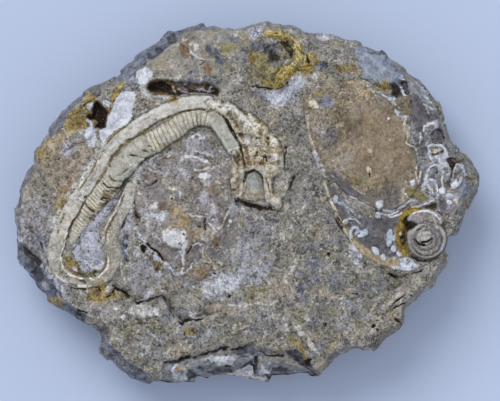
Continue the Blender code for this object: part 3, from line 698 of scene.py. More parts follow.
def follow(canvas, stations):
    # for every point: how far it is along the run and across it (left is positive) in millimetres,
    # and the run's half width, height and whiteness there
    best = np.full(canvas.px.shape, 1e9)
    along, across = np.zeros(best.shape), np.full(best.shape, 99.0)
    carried = [np.ones(best.shape), np.zeros(best.shape), np.zeros(best.shape)]
    walked = 0.0
    curve = splined(stations)
    scale = photo["mmPerPixel"]
    for a, b in zip(curve, curve[1:]):
        dx, dy = b[0] - a[0], b[1] - a[1]
        share = np.clip(((canvas.wx - a[0]) * dx + (canvas.wy - a[1]) * dy) / (dx * dx + dy * dy), 0, 1)
        offX, offY = canvas.wx - a[0] - dx * share, canvas.wy - a[1] - dy * share
        away = np.hypot(offX, offY) * scale
        nearer = away < best
        best = np.where(nearer, away, best)
        length = math.hypot(dx, dy) * scale
        along = np.where(nearer, walked + share * length, along)
        across = np.where(nearer, -np.sign(dx * offY - dy * offX) * away, across)
        for k in range(3):
            carried[k] = np.where(nearer, a[2 + k] + (b[2 + k] - a[2 + k]) * share, carried[k])
        walked += length
    return along, across, *carried


tubeMarks = [
    # the thin pale outer ridge past the band's end, the curl there and its brown gaps
    line("205,98 213,98.6 221,101 228,104 234,108 239,113", 2.6, 1.2, top=3.7, pale=1),
    line("238,112 244,118 250,124 255,130 257.5,136", 1.6, 1.2, 0.4, pale=1),
    # beyond the ridge: a dark pit, and golden brown, pitted crust down to the cream right edge
    area("256,112 262,118 270,124 280,131 286,140 286,150 279,158 272,150 264,142 258,132 252,122 250,114",
         2.5, -0.1, ochre=0.72, olive=0.42, cream=0.5),
    area("259,121 266,122 270,130 266,135 260,130", 2, 0.3, cream=0.9),
    spot(268, 138, 2.6, 2, 30, lift=-0.5, rust=1.1, soot=0.4),
    spot(275.5, 136.5, 3, 2.4, 40, lift=-0.4, slate=1.2),
    spot(279.5, 141, 1.6, 4, -30, lift=-0.5, rust=1, soot=0.45),
    spot(273, 131.5, 2, 1.6, lift=-0.4, rust=1, soot=0.3),
    spot(262, 126, 1.6, 1.3, lift=-0.4, rust=0.9),
    spot(270, 146, 2.4, 1.2, 30, lift=-0.4, rust=0.9, soot=0.3),
    # the lilac and cream strip left of the ridge
    area("224,108 233,112 241,118 248,127 254,138 252,150 246,146 242,134 236,124 228,115", 2.5,
         slate=0.75),
    area("246,136 257,137 258,150 249,152", 3, 0.1, green=0.9, rust=-0.8),
    line("206,104 210,101 214,103 213,108", 1.4, 1, 0.3, pale=1),
    spot(216, 101.5, 2.6, 0.9, 10, lift=-0.5, rust=1, soot=0.35),
    spot(220, 107, 3, 0.9, 25, lift=-0.4, rust=1, soot=0.3),
    line("203,109.5 207,112 212,109 214,106", 0.8, 1, -0.4, rust=0.8, soot=0.4),
    # the groove between the band and the ribs, deep and dark at the top with painted shade, fading
    # downwards
    line("128,139.5 134,138 141,135 148,129 155,124 163,120 170,117 178,113 190,110 198,108.5 204,110",
         0.5, 1.2, -0.35, soot=0.36, olive=1),
    line("130,139 122,145 117,150 113,156 110,162", 1.4, 2, -0.3, soot=0.36, olive=0.8),
    area("146,131 152,121 162,118 166,123 158,129 150,136 140,139", 3, -0.2, olive=0.45, slate=0.55),
    spot(151.5, 131, 1.3, 1, lift=-0.4, soot=1),
    spot(156, 119, 1, 0.9, lift=-0.3, soot=0.8),
    # lower down the groove is a thin dark line of painted shade beside the ribs
    line("84,203.5 79,213 76,217 72,222 69,231 66,240 64,249 61.5,256", 0.7, 1.3, -0.45, soot=0.55,
         olive=0.9),
    line("66.5,233 64.5,238", 0.7, 0.9, 0.2, pale=1),
    spot(97.5, 182.5, 1.5, 2.9, 35, lift=-0.8, slate=1, soot=0.5),
    spot(85.5, 196.8, 1.6, 2.4, 35, lift=-0.7, slate=1, soot=0.5),
    # the deep groove on the right of the right arm, painted shade in it, with a reddish strip beside it
    line("222,108 230,116 237.5,126 242.5,137 245.5,148 248,158 250,166", 2.6, 1.8, -0.2, rust=0.9),
    line("217,112 223,116.5 227,121", 0.8, 1.2, -0.7, soot=0.5, rust=1),
    line("227,121 230,127 234,134 236,138", 1.8, 1.4, -1.1, soot=0.95, rust=1),
    line("236,138 240.6,144 242,152 243.6,160 247,168 249,172", 1, 1.4, -0.4, soot=0.2, rust=1.1),
    # cracks across the ribbed tube, with painted shade in them
    line("130,155 136,156 144,158 149,157", 0.7, 1.1, -0.5, soot=0.55, rust=0.8),
    line("109.5,176 113.5,180.5 118,182 124,181 128,178", 0.7, 1.2, -0.5, soot=0.5, rust=0.8),
    line("103,183.5 107,187 112,188 121,188", 0.8, 1.2, -0.6, soot=0.62, rust=0.8),
    line("118,176 126,171 133,166", 0.6, 1.2, -0.3, rust=0.6),
    line("77,199 80,200 84,203", 0.6, 1, -0.25, soot=0.3, rust=0.7),
    line("70,199 77,198 83,201 85,205", 0.8, 1, 0.15, pale=0.6),
    spot(110.5, 166, 1.3, 2.2, -30, lift=-0.3, rust=0.9),
    spot(122.5, 164.5, 1.2, 1, lift=-0.15, slate=0.6),
    spot(145, 151, 4, 1.2, 10, lift=-0.35, olive=0.9),
    spot(150, 146.5, 3, 1, 10, lift=-0.3, olive=0.9, rust=0.5),
    spot(113.5, 150, 4, 1.6, -45, lift=-0.3, slate=0.5),
    # the olive flank and the black line of painted shadow under it
    area("152,148 160,143 168,144 171,140 174,141 168,150 156,156 147,158", 2.5, -0.1, olive=0.62,
         warm=0.8),
    line("164,153.6 158,155 150,156", 0.5, 1, -0.5, soot=0.6, olive=0.8),
    line("150,156 142,162 137,169 131,176 126,179 121,187", 0.8, 1, -0.7, soot=0.85),
    line("133,171 139,166 145,159", 1.6, 1.2, 0.2, cream=1, pale=0.4),
    # painted light: cream and pale along the tube's lower flank, brightening the side that faces away from
    # the sun
    area("126,168 138,156 150,151 166,146 168,151 152,156 141,161 130,173", 2, 0.1, cream=0.9, pale=0.55),
    line("121,187 115,190.5 110,198 104,205 97,214 91,219", 1.6, 2.2, -0.3, soot=0.36, olive=0.9),
    area("104,190 118,189 112,197 104,206 96,214 92,212 100,202", 2.5, -0.1, olive=0.85),
    line("104,192 110,191 117,192", 0.8, 1, -0.35, soot=0.5),
    line("100,200 103,198 109,199", 0.8, 1, -0.4, soot=0.65),
    line("85,204 89,208 94,212", 0.9, 1, -0.5, soot=0.62, rust=0.8),
    line("98,201 105,203", 0.8, 1, 0.3, pale=0.7),
    # ochre and rust beside the band
    line("97,128 97,136 95,146 96,156 95,166 92,172 87,178 84,184 79,190", 1, 1.6, -0.2, olive=0.95,
         rust=0.55),
    line("104,150 101,155 99,159", 1.2, 1.2, -0.2, rust=0.9, ochre=0.4),
    area("60,226 66,212 76,198 82,196 76,210 68,226 64,242 58,246", 3, -0.1, warm=0.62),
    area("84,188 92,178 96,180 90,190 84,196", 2, -0.1, slate=0.6),
    line("98,168 92,178 84,189 78,198", 0.8, 1.6, -0.15, slate=0.7),
    line("64,214 61,222 58,232", 0.8, 2, -0.15, olive=0.6),
    line("118,136 110,144 104,153", 1, 1.6, -0.1, slate=0.8),
    line("150,117 140,122 130,129", 0.8, 1.6, -0.1, slate=0.7),
    spot(183, 101, 2.6, 1.2, lift=-0.2, slate=0.7),
    line("82,182 79,187", 1.4, 1.2, 0.3, pale=1),
    spot(61, 208, 5, 5, soft=0.7, ochre=0.8),
    area("166,97 178,96 179,102 168,104", 2, ochre=0.9),
    spot(146, 109.5, 4, 1.8, -15, lift=-0.5, soot=0.9),
    spot(243.5, 105, 6, 2.8, 22, lift=-1, rust=1.1, soot=0.5),
    spot(249, 109, 2.6, 1.8, 40, lift=-0.8, soot=0.9),
    area("238,109 244,109 251,114 247,117", 1.5, -0.4, olive=1),
    line("246,112.5 250,115 252,118", 1.1, 1, 0.3, pale=0.9),
    # the outline of the low turn at the bottom left
    line("46,264 52,273 60,280 70,284.5 79,286 90,286.5", 1.6, 2, 0.2, pale=0.55),
    line("57,280 62,283 70,284 77,285.5", 0.7, 1.2, -0.4, rust=0.7, soot=0.45),
    line("122.7,192 116.6,209 111.2,217 106.5,226 102.3,234 101,241 103.3,249 107,254 109,260 108,268 "
         "104,272 98,278 94,280 90,277.5", 0.7, 1.1, 0.35, pale=0.75),
    line("120.5,194 114.5,208 109,216 104,226 100,234 99,242 101,250 105,256 106.5,261 105,267 100,273",
         0.9, 1.3, -0.35, rust=1, soot=0.42),
    line("124,195 119,208 114,217 109.5,226 105.5,235 104,243 106,250", 0.7, 1.2, -0.25, rust=0.85,
         soot=0.36),
    line("66,241 63,248 61,256 61.5,263 64,270 70,275 77,278 83,279", 0.7, 1.1, 0.35, pale=0.7),
    line("68,243 65,250 63.5,257 64,263 66.5,268 72,272.5 78,275.5", 0.8, 1.3, -0.35, soot=0.5, rust=0.8),
    line("62,273 68,277.5 77,280.5 84,282", 0.8, 1.3, -0.35, soot=0.62, rust=0.8),
    spot(104.5, 232.5, 1.2, 1.2, lift=-0.3, soot=0.8),
    spot(101.5, 245, 1.3, 1.3, lift=-0.3, soot=0.9),
    spot(106, 254, 1.3, 1.3, lift=-0.4, soot=1),
    spot(84, 283, 2.4, 1, 20, lift=-0.3, rust=1, soot=0.4),
    spot(95, 275.5, 1.4, 1.1, lift=-0.3, soot=1),
    area("84,278 96,281 104,279 108,284 96,286 84,284", 3, ochre=0.62, rust=0.4),
    # the opening that the cast fills, and the flat grey wall right of it
    area("245,172 249,171.5 254,169.5 259,171.5 262.5,176 264,184 264.5,198 256,202 246,200 241.5,196 "
         "244,187 246,180", 1.2, level=1.1),
    area("272,178 284,170 290,178 290,189 285,198 277,197 273,190", 3, level=1.7, warm=-1, cream=-1,
         pale=-0.8, rust=-0.8, slate=0.46, olive=0.46),
    # the broken end of the right arm, the curled fragment and the knob beside the mouth
    line("227,152 232,149 240,148", 0.8, 0.9, 0.25, pale=0.8),
    line("233,154 233,160 237,166 243,168 243,160 240,152 236,150 233,154", 1, 0.9, 0.6, cream=0.9,
         warm=0.6),
    spot(238.5, 159, 2.4, 4.5, -15, lift=-0.5, olive=1.1),
    line("231,152 235,159 239,166", 0.8, 1, -0.5, rust=0.8, olive=1.1),
    line("236,151 241,158 244,165", 0.8, 1, -0.4, rust=0.6, olive=1.1),
    spot(232, 176, 1.6, 2.6, lift=-0.3, rust=0.9),
    spot(241, 171, 3.6, 3.4, soft=0.6, lift=0.5, warm=0.9, pale=0.3),
    spot(237, 179, 3, 3.6, soft=0.6, lift=-0.1, olive=0.7),
    spot(241.5, 188, 3.4, 4.4, soft=0.6, lift=0.4, warm=0.9, pale=0.3),
    spot(244, 181.5, 1.3, 2.2, lift=-0.6, soot=0.9),
    spot(234, 190, 2, 1.6, lift=-0.5, rust=0.8, soot=0.4),
    line("230,166 229.5,176 230,186 232,194", 1, 1.3, -0.7, soot=0.85, rust=0.6),
    # the crust at the mouth: growth lines, a slit, the edge and dark hollows
    line("264,157 264.5,161", 0.7, 0.8, -0.5, soot=0.9),
    line("252,147 259,145.5 266,147.5", 0.6, 1, -0.3, rust=0.8),
    line("251,151.5 258,150 266,151.5", 0.6, 1, -0.3, rust=0.8),
    line("251,156.5 258,155 265,156.5", 0.6, 1, -0.3, rust=0.8),
    line("252,158.5 258,157 265,158.5", 0.8, 1, 0.3, pale=0.7),
    area("253,160 266,160 266,166 254,167", 1.5, 0.1, ochre=0.9, calm=0.6),
    line("248,167 256,167.6 266,168 273,172", 1, 1.2, 0.3, cream=0.9),
    line("286.6,142 285.5,150 283,158 280.5,166", 1, 1.1, 0.3, cream=1, pale=0.5),
    spot(275.5, 157, 4.4, 5, soft=0.6, lift=0.3, pale=0.8),
    line("266,156.5 267,161", 0.9, 0.8, -0.5, soot=1),
    # the thin white rim round the mouth cast, pinkish strips, the pale lump, and painted shade in the gaps
    # at the cast's top and below it
    line("246.5,177 246,184 244,190 239,196", 1, 1, 0.35, cream=0.9, pale=0.4),
    line("263.5,182 264,192 268,202", 1.2, 1, 0.5, pale=1),
    line("266,178 269,188 271,198", 0.8, 1, -0.4, rust=0.9),
    line("270,176 273,186 274,196", 0.8, 1, -0.3, rust=0.7),
    spot(276.6, 201.6, 5.2, 4.8, 15, soft=0.5, lift=0.6, cream=1.2, pale=0.6),
    area("243,190 250,191 262,188 263,194 257,199 248,198", 1.2, cream=0.9),
    line("238,199 243,202 248,203", 1.6, 1.5, -1, soot=1),
    line("246,178 246.6,174 250,172 254.5,170.6", 1.3, 1, -0.9, soot=1.1),
    line("254.5,170.6 259,173.5 262,177.5 263,182", 0.6, 0.9, -0.5, soot=0.72, rust=0.6),
]

tubeLook = {
    **plainStone, "name": "worm tube stone", "mottle": 5, "grain": 1.0, "contrast": 0.72, "fine": 0.48,
    "tones": [(136, 131, 119), (158, 154, 144)],
    "stains": [(6, 3, 0.5, 0.6, (160, 156, 142), 0.6), (4, 4, 0.54, 0.62, (124, 112, 84), 0.6),
               (3, 7, 0.56, 0.61, (196, 192, 182), 0.6)],
    "layers": [
        ("cream", (156, 148, 128), (200, 194, 179), 0.25, None),
        ("green", (134, 134, 122), (172, 171, 159), 0.3, None),
        ("warm", (150, 138, 108), (210, 202, 176), 0.3, None),
        ("band", (156, 151, 139), (200, 198, 190), 0.34, None),
        ("slate", (120, 118, 118), (164, 162, 164), 0.25, None),
        ("olive", (88, 79, 50), (134, 123, 90), 0.22, None),
        ("rust", (92, 68, 46), (140, 112, 84), 0.2, None),
        ("ochre", (118, 94, 46), (168, 142, 90), 0.2, None),
        ("pale", (194, 190, 178), (226, 223, 216), 0.2, None),
    ],
    "speckSize": 0.5, "darkSpecks": 0.02, "lightSpecks": 0.02,
    # rib grooves: their tone is partly painted shade
    "lines": {"waver": 0.25, "edge": (0.3, 0.48), "tone": (98, 86, 62)},
    "roughness": 0.8, "dirtAndShade": 0.75, "bump": 0.6, "bumpDepth": 0.2,
}


def fallOff(across, half, run):
    # how far a run has dropped beyond its half width
    return np.maximum(0, np.abs(across) - half) * tube["slope"][run]


def archOver(across, half, height, run):
    side = np.clip(np.abs(across) / half, 0, 1)
    springing = tube["springing"][run]
    over = height * (springing + (1 - springing) * np.sqrt(1 - side**2))
    return over - fallOff(across, half, run)


def makeTube():
    c = Canvas(*tube["canvas"])
    lumps = 0.3 * c.noise(3.6, 3, 40) + 0.16 * c.noise(1.1, 3, 44, 0.7)
    # the flat-topped band, low and rough where it turns back
    bandAlong, across, half, height, white = follow(c, tube["band"])
    side = across / half
    band = height * (1 - 0.12 * np.abs(side) ** 3) - fallOff(across, half, "band")
    band += 0.22 * c.noise(2.2, 3, 50) * (1 - white) + 0.12 * smooth(0.45, 0.95, side) * white
    bandPhase = bandAlong / 0.62 + 0.3 * c.noise(2.0, 2, 52)
    crossLines = smooth(27, 32, bandAlong) * smooth(52, 47, bandAlong)
    # the floor between the band and the ribs
    _, across, half, height, _ = follow(c, tube["web"])
    web = height - fallOff(across, half, "web")
    # the ribbed tube, each rib with a depth of its own
    ribAlong, across, half, height, _ = follow(c, tube["ribbed"])
    ribSide = across / half
    strength = np.interp(ribAlong, tube["ribAt"], tube["ribStrength"]) * (0.75 + 0.5 * c.noise(3.0, 2, 58))
    lean = np.interp(ribAlong, tube["leanAt"], tube["lean"])
    zigzag = 1.1 * smooth(-0.25, -0.9, ribSide) * smooth(23, 17, ribAlong)
    passed = np.interp(ribAlong, tube["countAt"], tube["count"])
    phase = passed + lean * ribSide - zigzag + 0.35 * c.noise(3.0, 3, 60)
    wave = np.abs(sawtooth(phase) - 0.5)
    nought = np.zeros(phase.shape, np.int64)
    collar = scramble(np.floor(phase).astype(np.int64), nought, nought, 7)
    grooves = tube["ribDepth"] * smooth(0.26, 0.48, wave) * (0.5 + 0.6 * collar)
    ribs = strength * (0.3 * (collar - 0.5) - grooves)
    dents = (1 - strength) * 0.35 * c.noise(2.8, 3, 64)
    ribbed = archOver(across, half, height + ribs + dents, "ribbed")
    # the smooth right arm, boxy with sharp edges, and the knob below it
    _, across, half, height, _ = follow(c, tube["arm"])
    arm = height * (1 - 0.08 * np.abs(across / half) ** 4) - fallOff(across, half, "arm")
    _, across, half, height, _ = follow(c, tube["knob"])
    knob = archOver(across, half + 0.5 * c.noise(2, 2, 66), height + 0.9 * c.noise(2, 3, 68), "knob")
    # the crust and the lip at the mouth
    crustAlong, across, half, height, _ = follow(c, tube["crust"])
    crustLumps = 1.2 * c.noise(3.2, 4, 70, 0.75) - 0.7 * smooth(0.15, 0.45, c.noise(1.5, 2, 72))
    crust = archOver(across, half + 0.7 * c.noise(2.5, 2, 74), height + crustLumps, "crust")
    growth = crustAlong / 0.95 + 0.5 * c.noise(3, 2, 75)
    _, across, half, height, _ = follow(c, tube["lip"])
    lip = archOver(across, half + 0.5 * c.noise(2.2, 2, 76), height + 0.7 * c.noise(2.4, 3, 78), "lip")
    # the highest run shows, and gives its colours
    runs = np.stack([band, web, ribbed, arm, knob, crust, lip])
    onBand, onWeb, onRibs, onArm, onKnob, onCrust, onLip = (runs.argmax(0) == k for k in range(len(runs)))
    c.height = runs.max(0) + lumps * np.where(onArm, 0.3, 1.0)
    atMouth = onCrust | onLip
    crusty = atMouth | onKnob
    flank = 0.6 * smooth(-0.6, -1.0, ribSide) * smooth(24, 18, ribAlong)
    c.masks["band"] = np.where(onBand, white, 0.0)
    c.masks["cream"] = np.select([onRibs, onKnob], [0.75 + 0.2 * strength, 0.2], 0.0)
    c.masks["green"] = np.select([onRibs, onArm], [0.8 * (1 - strength), 1.0], 0.0)
    c.masks["warm"] = np.select([atMouth, onKnob], [0.85, 0.45], 0.0)
    c.masks["rust"] = np.where(crusty, 0.14 + 0.5 * c.noise(2.4, 3, 80), 0.0)
    c.masks["olive"] = np.select([onRibs, onWeb], [flank, 0.55], 0.0)
    c.masks["olive"] += np.where(crusty, 0.2 + 0.5 * c.noise(3.6, 3, 83), 0.0) + np.where(onKnob, 0.2, 0.0)
    c.masks["slate"] = np.where(crusty, 0.22 + 0.5 * c.noise(3.0, 3, 82), 0.0)
    c.masks["pale"] = np.where(crusty, 0.33 + 0.5 * c.noise(1.8, 3, 84), 0.0) * np.where(onKnob, 0.4, 1.0)
    # painted shade on the floor between the band and the ribs
    c.masks["soot"] = np.where(onWeb, 0.2, 0.0)
    c.masks["calm"] = np.select([onBand, onRibs, onArm], [0.85 * white, 0.6, 0.9], 0.0)
    c.fields["linePhase"] = np.where(onRibs, phase, np.where(atMouth, growth, bandPhase))
    ribLines = np.clip(strength, 0, 1) * (0.7 + 0.3 * collar)
    c.fields["lines"] = np.select([onRibs, atMouth, onBand], [ribLines, 0.25, 0.3 * crossLines], 0.0)
    c.draw(tubeMarks)
    settle(c, 3, 0.5, 0.9)
    return c


# The stone cast that fills the tube's mouth
plug = {
    "canvas": (240, 166, 270, 204, 0.5, 0.3, 500),
    "outline": path("255,171.5 259,175 262,180 262,185 263,191.5 260.5,197 253,198.3 246,194.5 247.5,187 "
                    "246.7,179 248.3,174.6"),
    "edge": 2.2, "crown": 0.8, "slope": 4,
    # where its top is cream, and where it dips, in pixels down the photograph
    "creamFrom": (188, 191.5), "dipFrom": (189, 196),
}
plugLook = {
    **plainStone, "name": "mouth cast stone", "mottle": 3, "grain": 0.8, "contrast": 0.5,
    "tones": [(146, 150, 143), (172, 176, 172)],
    "stains": [(3, 6, 0.52, 0.6, (138, 135, 116), 0.5), (1.5, 7, 0.56, 0.62, (194, 198, 194), 0.5)],
    "layers": [("olive", (118, 112, 90), (146, 138, 114), 0.2, None),
               ("cream", (158, 148, 118), (198, 192, 166), 0.2, None)],
    "speckSize": 0.4, "darkSpecks": 0.02, "lightSpecks": 0.04, "roughness": 0.75,
}


def makePlug():
    c = Canvas(*plug["canvas"])
    depth = c.depthInside(plug["outline"])
    top = plug["edge"] + plug["crown"] * smooth(0, 1.3, depth)
    c.height = np.where(depth > 0, top, plug["edge"] + depth * plug["slope"]) + 0.12 * c.noise(1.4, 3, 510)
    c.height -= 0.5 * smooth(*plug["dipFrom"], c.py)
    c.masks["olive"] = 0.62 * smooth(0.6, 0.0, depth)
    c.masks["cream"] = 1.1 * smooth(*plug["creamFrom"], c.py)
    settle(c, 3, 0.4)
    return c


# The left, worn oyster in the middle of the slab
middleOyster = {
    "canvas": (128, 120, 248, 288, 0.75, 1.7, 600),
    "outline": path("137,181 143.5,167.5 153,162 166,154.5 177.5,146.5 188.5,137 200,130.5 210,131.5 "
                    "216,140 221.5,150 228,161 230.5,175 231.5,190 234,203 240,210 240,227 235,246 229,258 "
                    "215,271 202,278 190,276 178.6,272 161.2,261 151,249 142.9,238 138.5,226 136,206"),
    "edge": 0.75, "crown": 1.3, "reach": 9.0, "slope": 2.5,
    # flaky growth layers that follow the edge: their spacing, how much it wanders, and their height
    "flakes": (1.15, 0.9, 0.16),
}
middleOysterMarks = [
    # the lilac grey upper part with a whitish rim along the top edge
    area("150,160 176,148 200,134 216,140 228,160 231,185 206,170 180,182 160,180", 8, slate=0.55),
    area("174,144 184,137 198,132 211,135 207,142 194,147 182,151", 4, 0.1, slate=0.95),
    line("174,140 179,142.5 184,140", 0.8, 1, 0.2, chalk=0.8),
    spot(178.5, 139.6, 2, 1.1, lift=-0.3, soot=0.7),
    spot(193, 137, 3.2, 2.4, chalk=0.85),
    spot(201.5, 138, 3.4, 1.8, chalk=0.75),
    line("193.5,136 196,134 199.5,135 200.5,138", 0.9, 0.9, 0.25, chalk=1),
    spot(197, 137.6, 1.6, 1.2, lift=-0.6, soot=1.2),
    spot(186.5, 156, 2.6, 2.2, chalk=1),
    spot(181.5, 157.5, 2.4, 3, chalk=0.6, cream=0.6),
    area("168,159 174,160 177,165 183,166 189,171 192,178 185,179 180,173 173,169 168,165", 2.5, 0.1,
         slate=1, chalk=0.55),
    # thin white arcs over brown stripes, the white patch under them, a painted highlight, and the beige
    # field below it
    area("193,154 203,154 213,157 214,159.5 204,159 194,157.5", 1.5, -0.15, rust=0.95),
    area("198,161 206,162 214,163 212,167 203,168 197,166", 2, -0.1, rust=0.8, ochre=0.5),
    line("190,151.5 197,152 206,153 213,156", 0.8, 1.5, 0.15, slate=0.9, chalk=0.45),
    line("189,156.5 198,157.8 209,162", 1.3, 1.2, 0.3, chalk=1.2),
    line("194,170.5 202,169 208,168 214,167 219,165", 0.9, 1.5, 0.2, chalk=0.8),
    # painted highlight: a white glint on the shell
    spot(205, 176, 9, 4.2, 5, soft=0.6, lift=0.35, chalk=1.25, calm=0.9),
    area("200,178 211,178 209,186 203,186", 3, 0.1, chalk=0.8, calm=0.8),
    area("206,183 218,180 226,188 224,200 212,204 202,198", 6, ochre=0.52, calm=0.6),
    area("214,158 224,166 230,182 229,200 222,190 218,176", 5, slate=0.55, chalk=0.36),
    spot(219, 183, 2, 1.4, chalk=0.95),
    spot(222.5, 187, 1.6, 1.2, chalk=0.85),
    spot(226, 177, 1.5, 1.5, chalk=0.75),
    # painted shadow beside the tube's right arm, dark olive and near-black
    area("216,140 222,141 227,149 229.5,160 229.5,166 225,162 221,154 217,147", 2, -0.8, olive=0.9,
         soot=0.48),
    line("223,147 226,152 228,159 229.5,165", 1.6, 1.4, -0.8, soot=0.9),
    # the left: a brown lump, a white rim, a grey glassy window, a dark brown hollow and bluish crusts
    spot(146.5, 175.5, 4.8, 6.2, 10, soft=0.8, lift=0.3, rust=0.85, calm=0.5),
    line("149,168 152,171 156,172.5 158,172", 0.9, 1.3, 0.2, chalk=0.8),
    line("148,184 152,184 157,181", 1.2, 1.4, -0.3, soot=0.55),
    area("161,176 164,177 167,183 172,187 178,188 178,191 172,190 165,187 162,182", 1.5, 0.2, cream=0.8,
         chalk=0.4),
    area("178,182 192,178 200,186 196,198 184,197", 6, -0.1, glass=0.5, olive=0.4),
    area("134,184 141,183 142,196 140,208 135,208", 2.5, cream=0.55),
    spot(138.6, 193.5, 2.3, 2, chalk=1.2),
    area("141,186 147,184 149,194 146,202 141,200", 2.5, 0.1, slate=1, chalk=0.45),
    area("149,187 155,182 163,182 167,189 172,193 167,200 159,203 151,200 148,193", 3, -0.15, glass=0.85,
         slate=0.36, calm=1),
    spot(153, 189, 3.2, 2.6, slate=1, calm=1),
    area("158,201 167,198 169,206 163,212 158,208", 3, -0.3, rust=1, soot=0.3, calm=0.5),
    area("145,202 157,202 158,210 147,211", 2, 0.2, chalk=0.95),
    area("140,208 152,210 164,208 168,217 165,224 154,222 143,220", 3.5, 0.15, slate=1, chalk=0.5),
    spot(163, 219, 3, 3, chalk=0.85),
    spot(150, 215, 3, 2.4, chalk=0.8),
    area("146,221 153,222 153,233 147,231", 2, 0.2, chalk=0.8),
    spot(155, 218, 2, 1.6, lift=-0.2, soot=0.55),
    spot(152, 210, 1.6, 1.2, lift=-0.2, soot=0.6),
    area("140,224 146,223 148,231 144,236 140,231", 2, -0.2, glass=0.9, slate=0.5),
    spot(144, 222.6, 2.6, 1.6, rust=1.1),
    # a small hole with a cream ring, and the orange brown centre with a dark lump
    spot(171, 197.5, 5.2, 4.6, soft=0.7, lift=0.2, cream=1, calm=0.6),
    area("171,200 177,199 178,206 172,207", 2, 0.1, cream=0.6),
    spot(171.2, 198.2, 1.5, 1.3, lift=-0.6, soot=1.5),
    area("172,206 180,203 184,210 190,214 200,216 201,226 190,229 176,229 167,224 171,215", 4, 0.1,
         ochre=0.85, rust=0.36, calm=0.5),
    area("182,204 190,205 191,213 184,213", 2.5, 0.1, cream=0.5),
    area("190,218 199,217 204,222 203,229 196,230 190,226", 3, -0.3, glass=0.85, rust=0.5, calm=0.6),
    spot(199, 226, 4, 3.4, soft=0.8, lift=-0.3, soot=0.55),
    line("203.5,215.5 204.5,222 205.5,229", 1.1, 1, -0.4, soot=0.85),
    line("189,213 192,215.5 197,215.5 201,217", 0.8, 1, 0.2, chalk=0.8),
    area("203,205 214,203 218,212 214,222 205,220", 5, 0.05, slate=0.85, chalk=0.42),
    spot(212.5, 204.5, 2.4, 2, chalk=0.95),
    spot(207, 214, 2, 1.6, chalk=0.8),
    spot(213, 219.5, 2, 1.6, chalk=0.8),
    spot(198, 208, 1.8, 1.4, chalk=0.7),
    area("214,204 222,204 222,211 215,210", 2.5, rust=1),
    area("216,214 225,214 222,228 216,228", 3, -0.1, glass=0.65),
    area("186,229 200,229 202,236 196,240 188,236", 3, ochre=0.85, rust=0.6),
    area("187,237 196,237 194,247 189,251 187,246", 2, olive=1, ochre=0.4),
    # the cream lump below the centre with its dark dots, and the pinkish patch right of it
    area("163,231 168,228 180,229 186,232 186,240 189,246 185,252 181,249 175,249 168,245 163,238", 2.5,
         0.45, chalk=1.15, cream=0.8, calm=1),
    spot(183.5, 235.5, 1.2, 1.4, lift=-0.5, soot=1.3),
    spot(179.8, 244.3, 1.2, 1.1, lift=-0.4, soot=1.3),
    spot(182.3, 245.8, 2, 2, lift=-0.3, olive=1.2, soot=0.5),
    spot(184, 242.6, 1, 0.9, lift=-0.3, soot=1),
    area("201,232 206,227 212,229 216,236 212,242 205,243 200,239", 2.5, 0.2, cream=0.9),
    area("200,236 206,238 207,241 201,241", 1.2, 0.2, chalk=1),
    line("207,222 212,226 217,233", 0.8, 1, 0.2, chalk=0.7),
    area("213,238 218,239 221,246 215,248 213,243", 1.5, -0.4, rust=1.2, soot=0.42),
    # dark glassy pockets at the bottom with white ridges between
    area("158,246 170,244 180,249 182,258 179,268 173,271 165,263 157,256", 3, -0.6, glass=0.75, rust=0.55,
         calm=0.9),
    area("160,254 166,258 172,266 177,270 172,272 163,264", 2, -0.3, glass=1.1, soot=0.3),
    area("187,254 190,248 195,245 201,246 202,252 200,262 193,266 188,262", 2.5, -0.6, glass=1, calm=0.9),
    area("208,249 214,247 222,248 229,252 229,258 222,262 213,261 208,256", 2.5, -0.5, glass=0.9, rust=0.4,
         calm=0.9),
    area("212,248 222,249 227,254 216,255", 1.5, -0.3, soot=0.5),
    spot(213, 247.3, 1.5, 1.1, chalk=1),
    spot(217.5, 250, 1.8, 0.9, chalk=1),
    spot(226, 250.5, 1.1, 1.6, chalk=0.9),
    line("184,247 184.5,254 183.8,260 182.5,268 181.5,273", 1.3, 1, 0.45, chalk=1.1, cream=0.6),
    line("181,274 186,271 190,267.5 192.5,264", 1.2, 1.1, 0.4, chalk=1),
    line("190,250.5 193,246.5 197,244.3 201,244", 0.9, 0.9, 0.4, chalk=1.2),
    line("187.5,253 190,250 191.5,247.5", 1.2, 1, -0.4, soot=0.9),
    line("203.8,250 202.4,256 204,261.5 210,262.5", 1, 0.9, 0.35, cream=1.2),
    area("204,253 208,254 210,260 205,261", 1.2, ochre=1.2),
    line("205.5,253 208,257 212,262", 0.8, 0.9, 0.3, chalk=1),
]
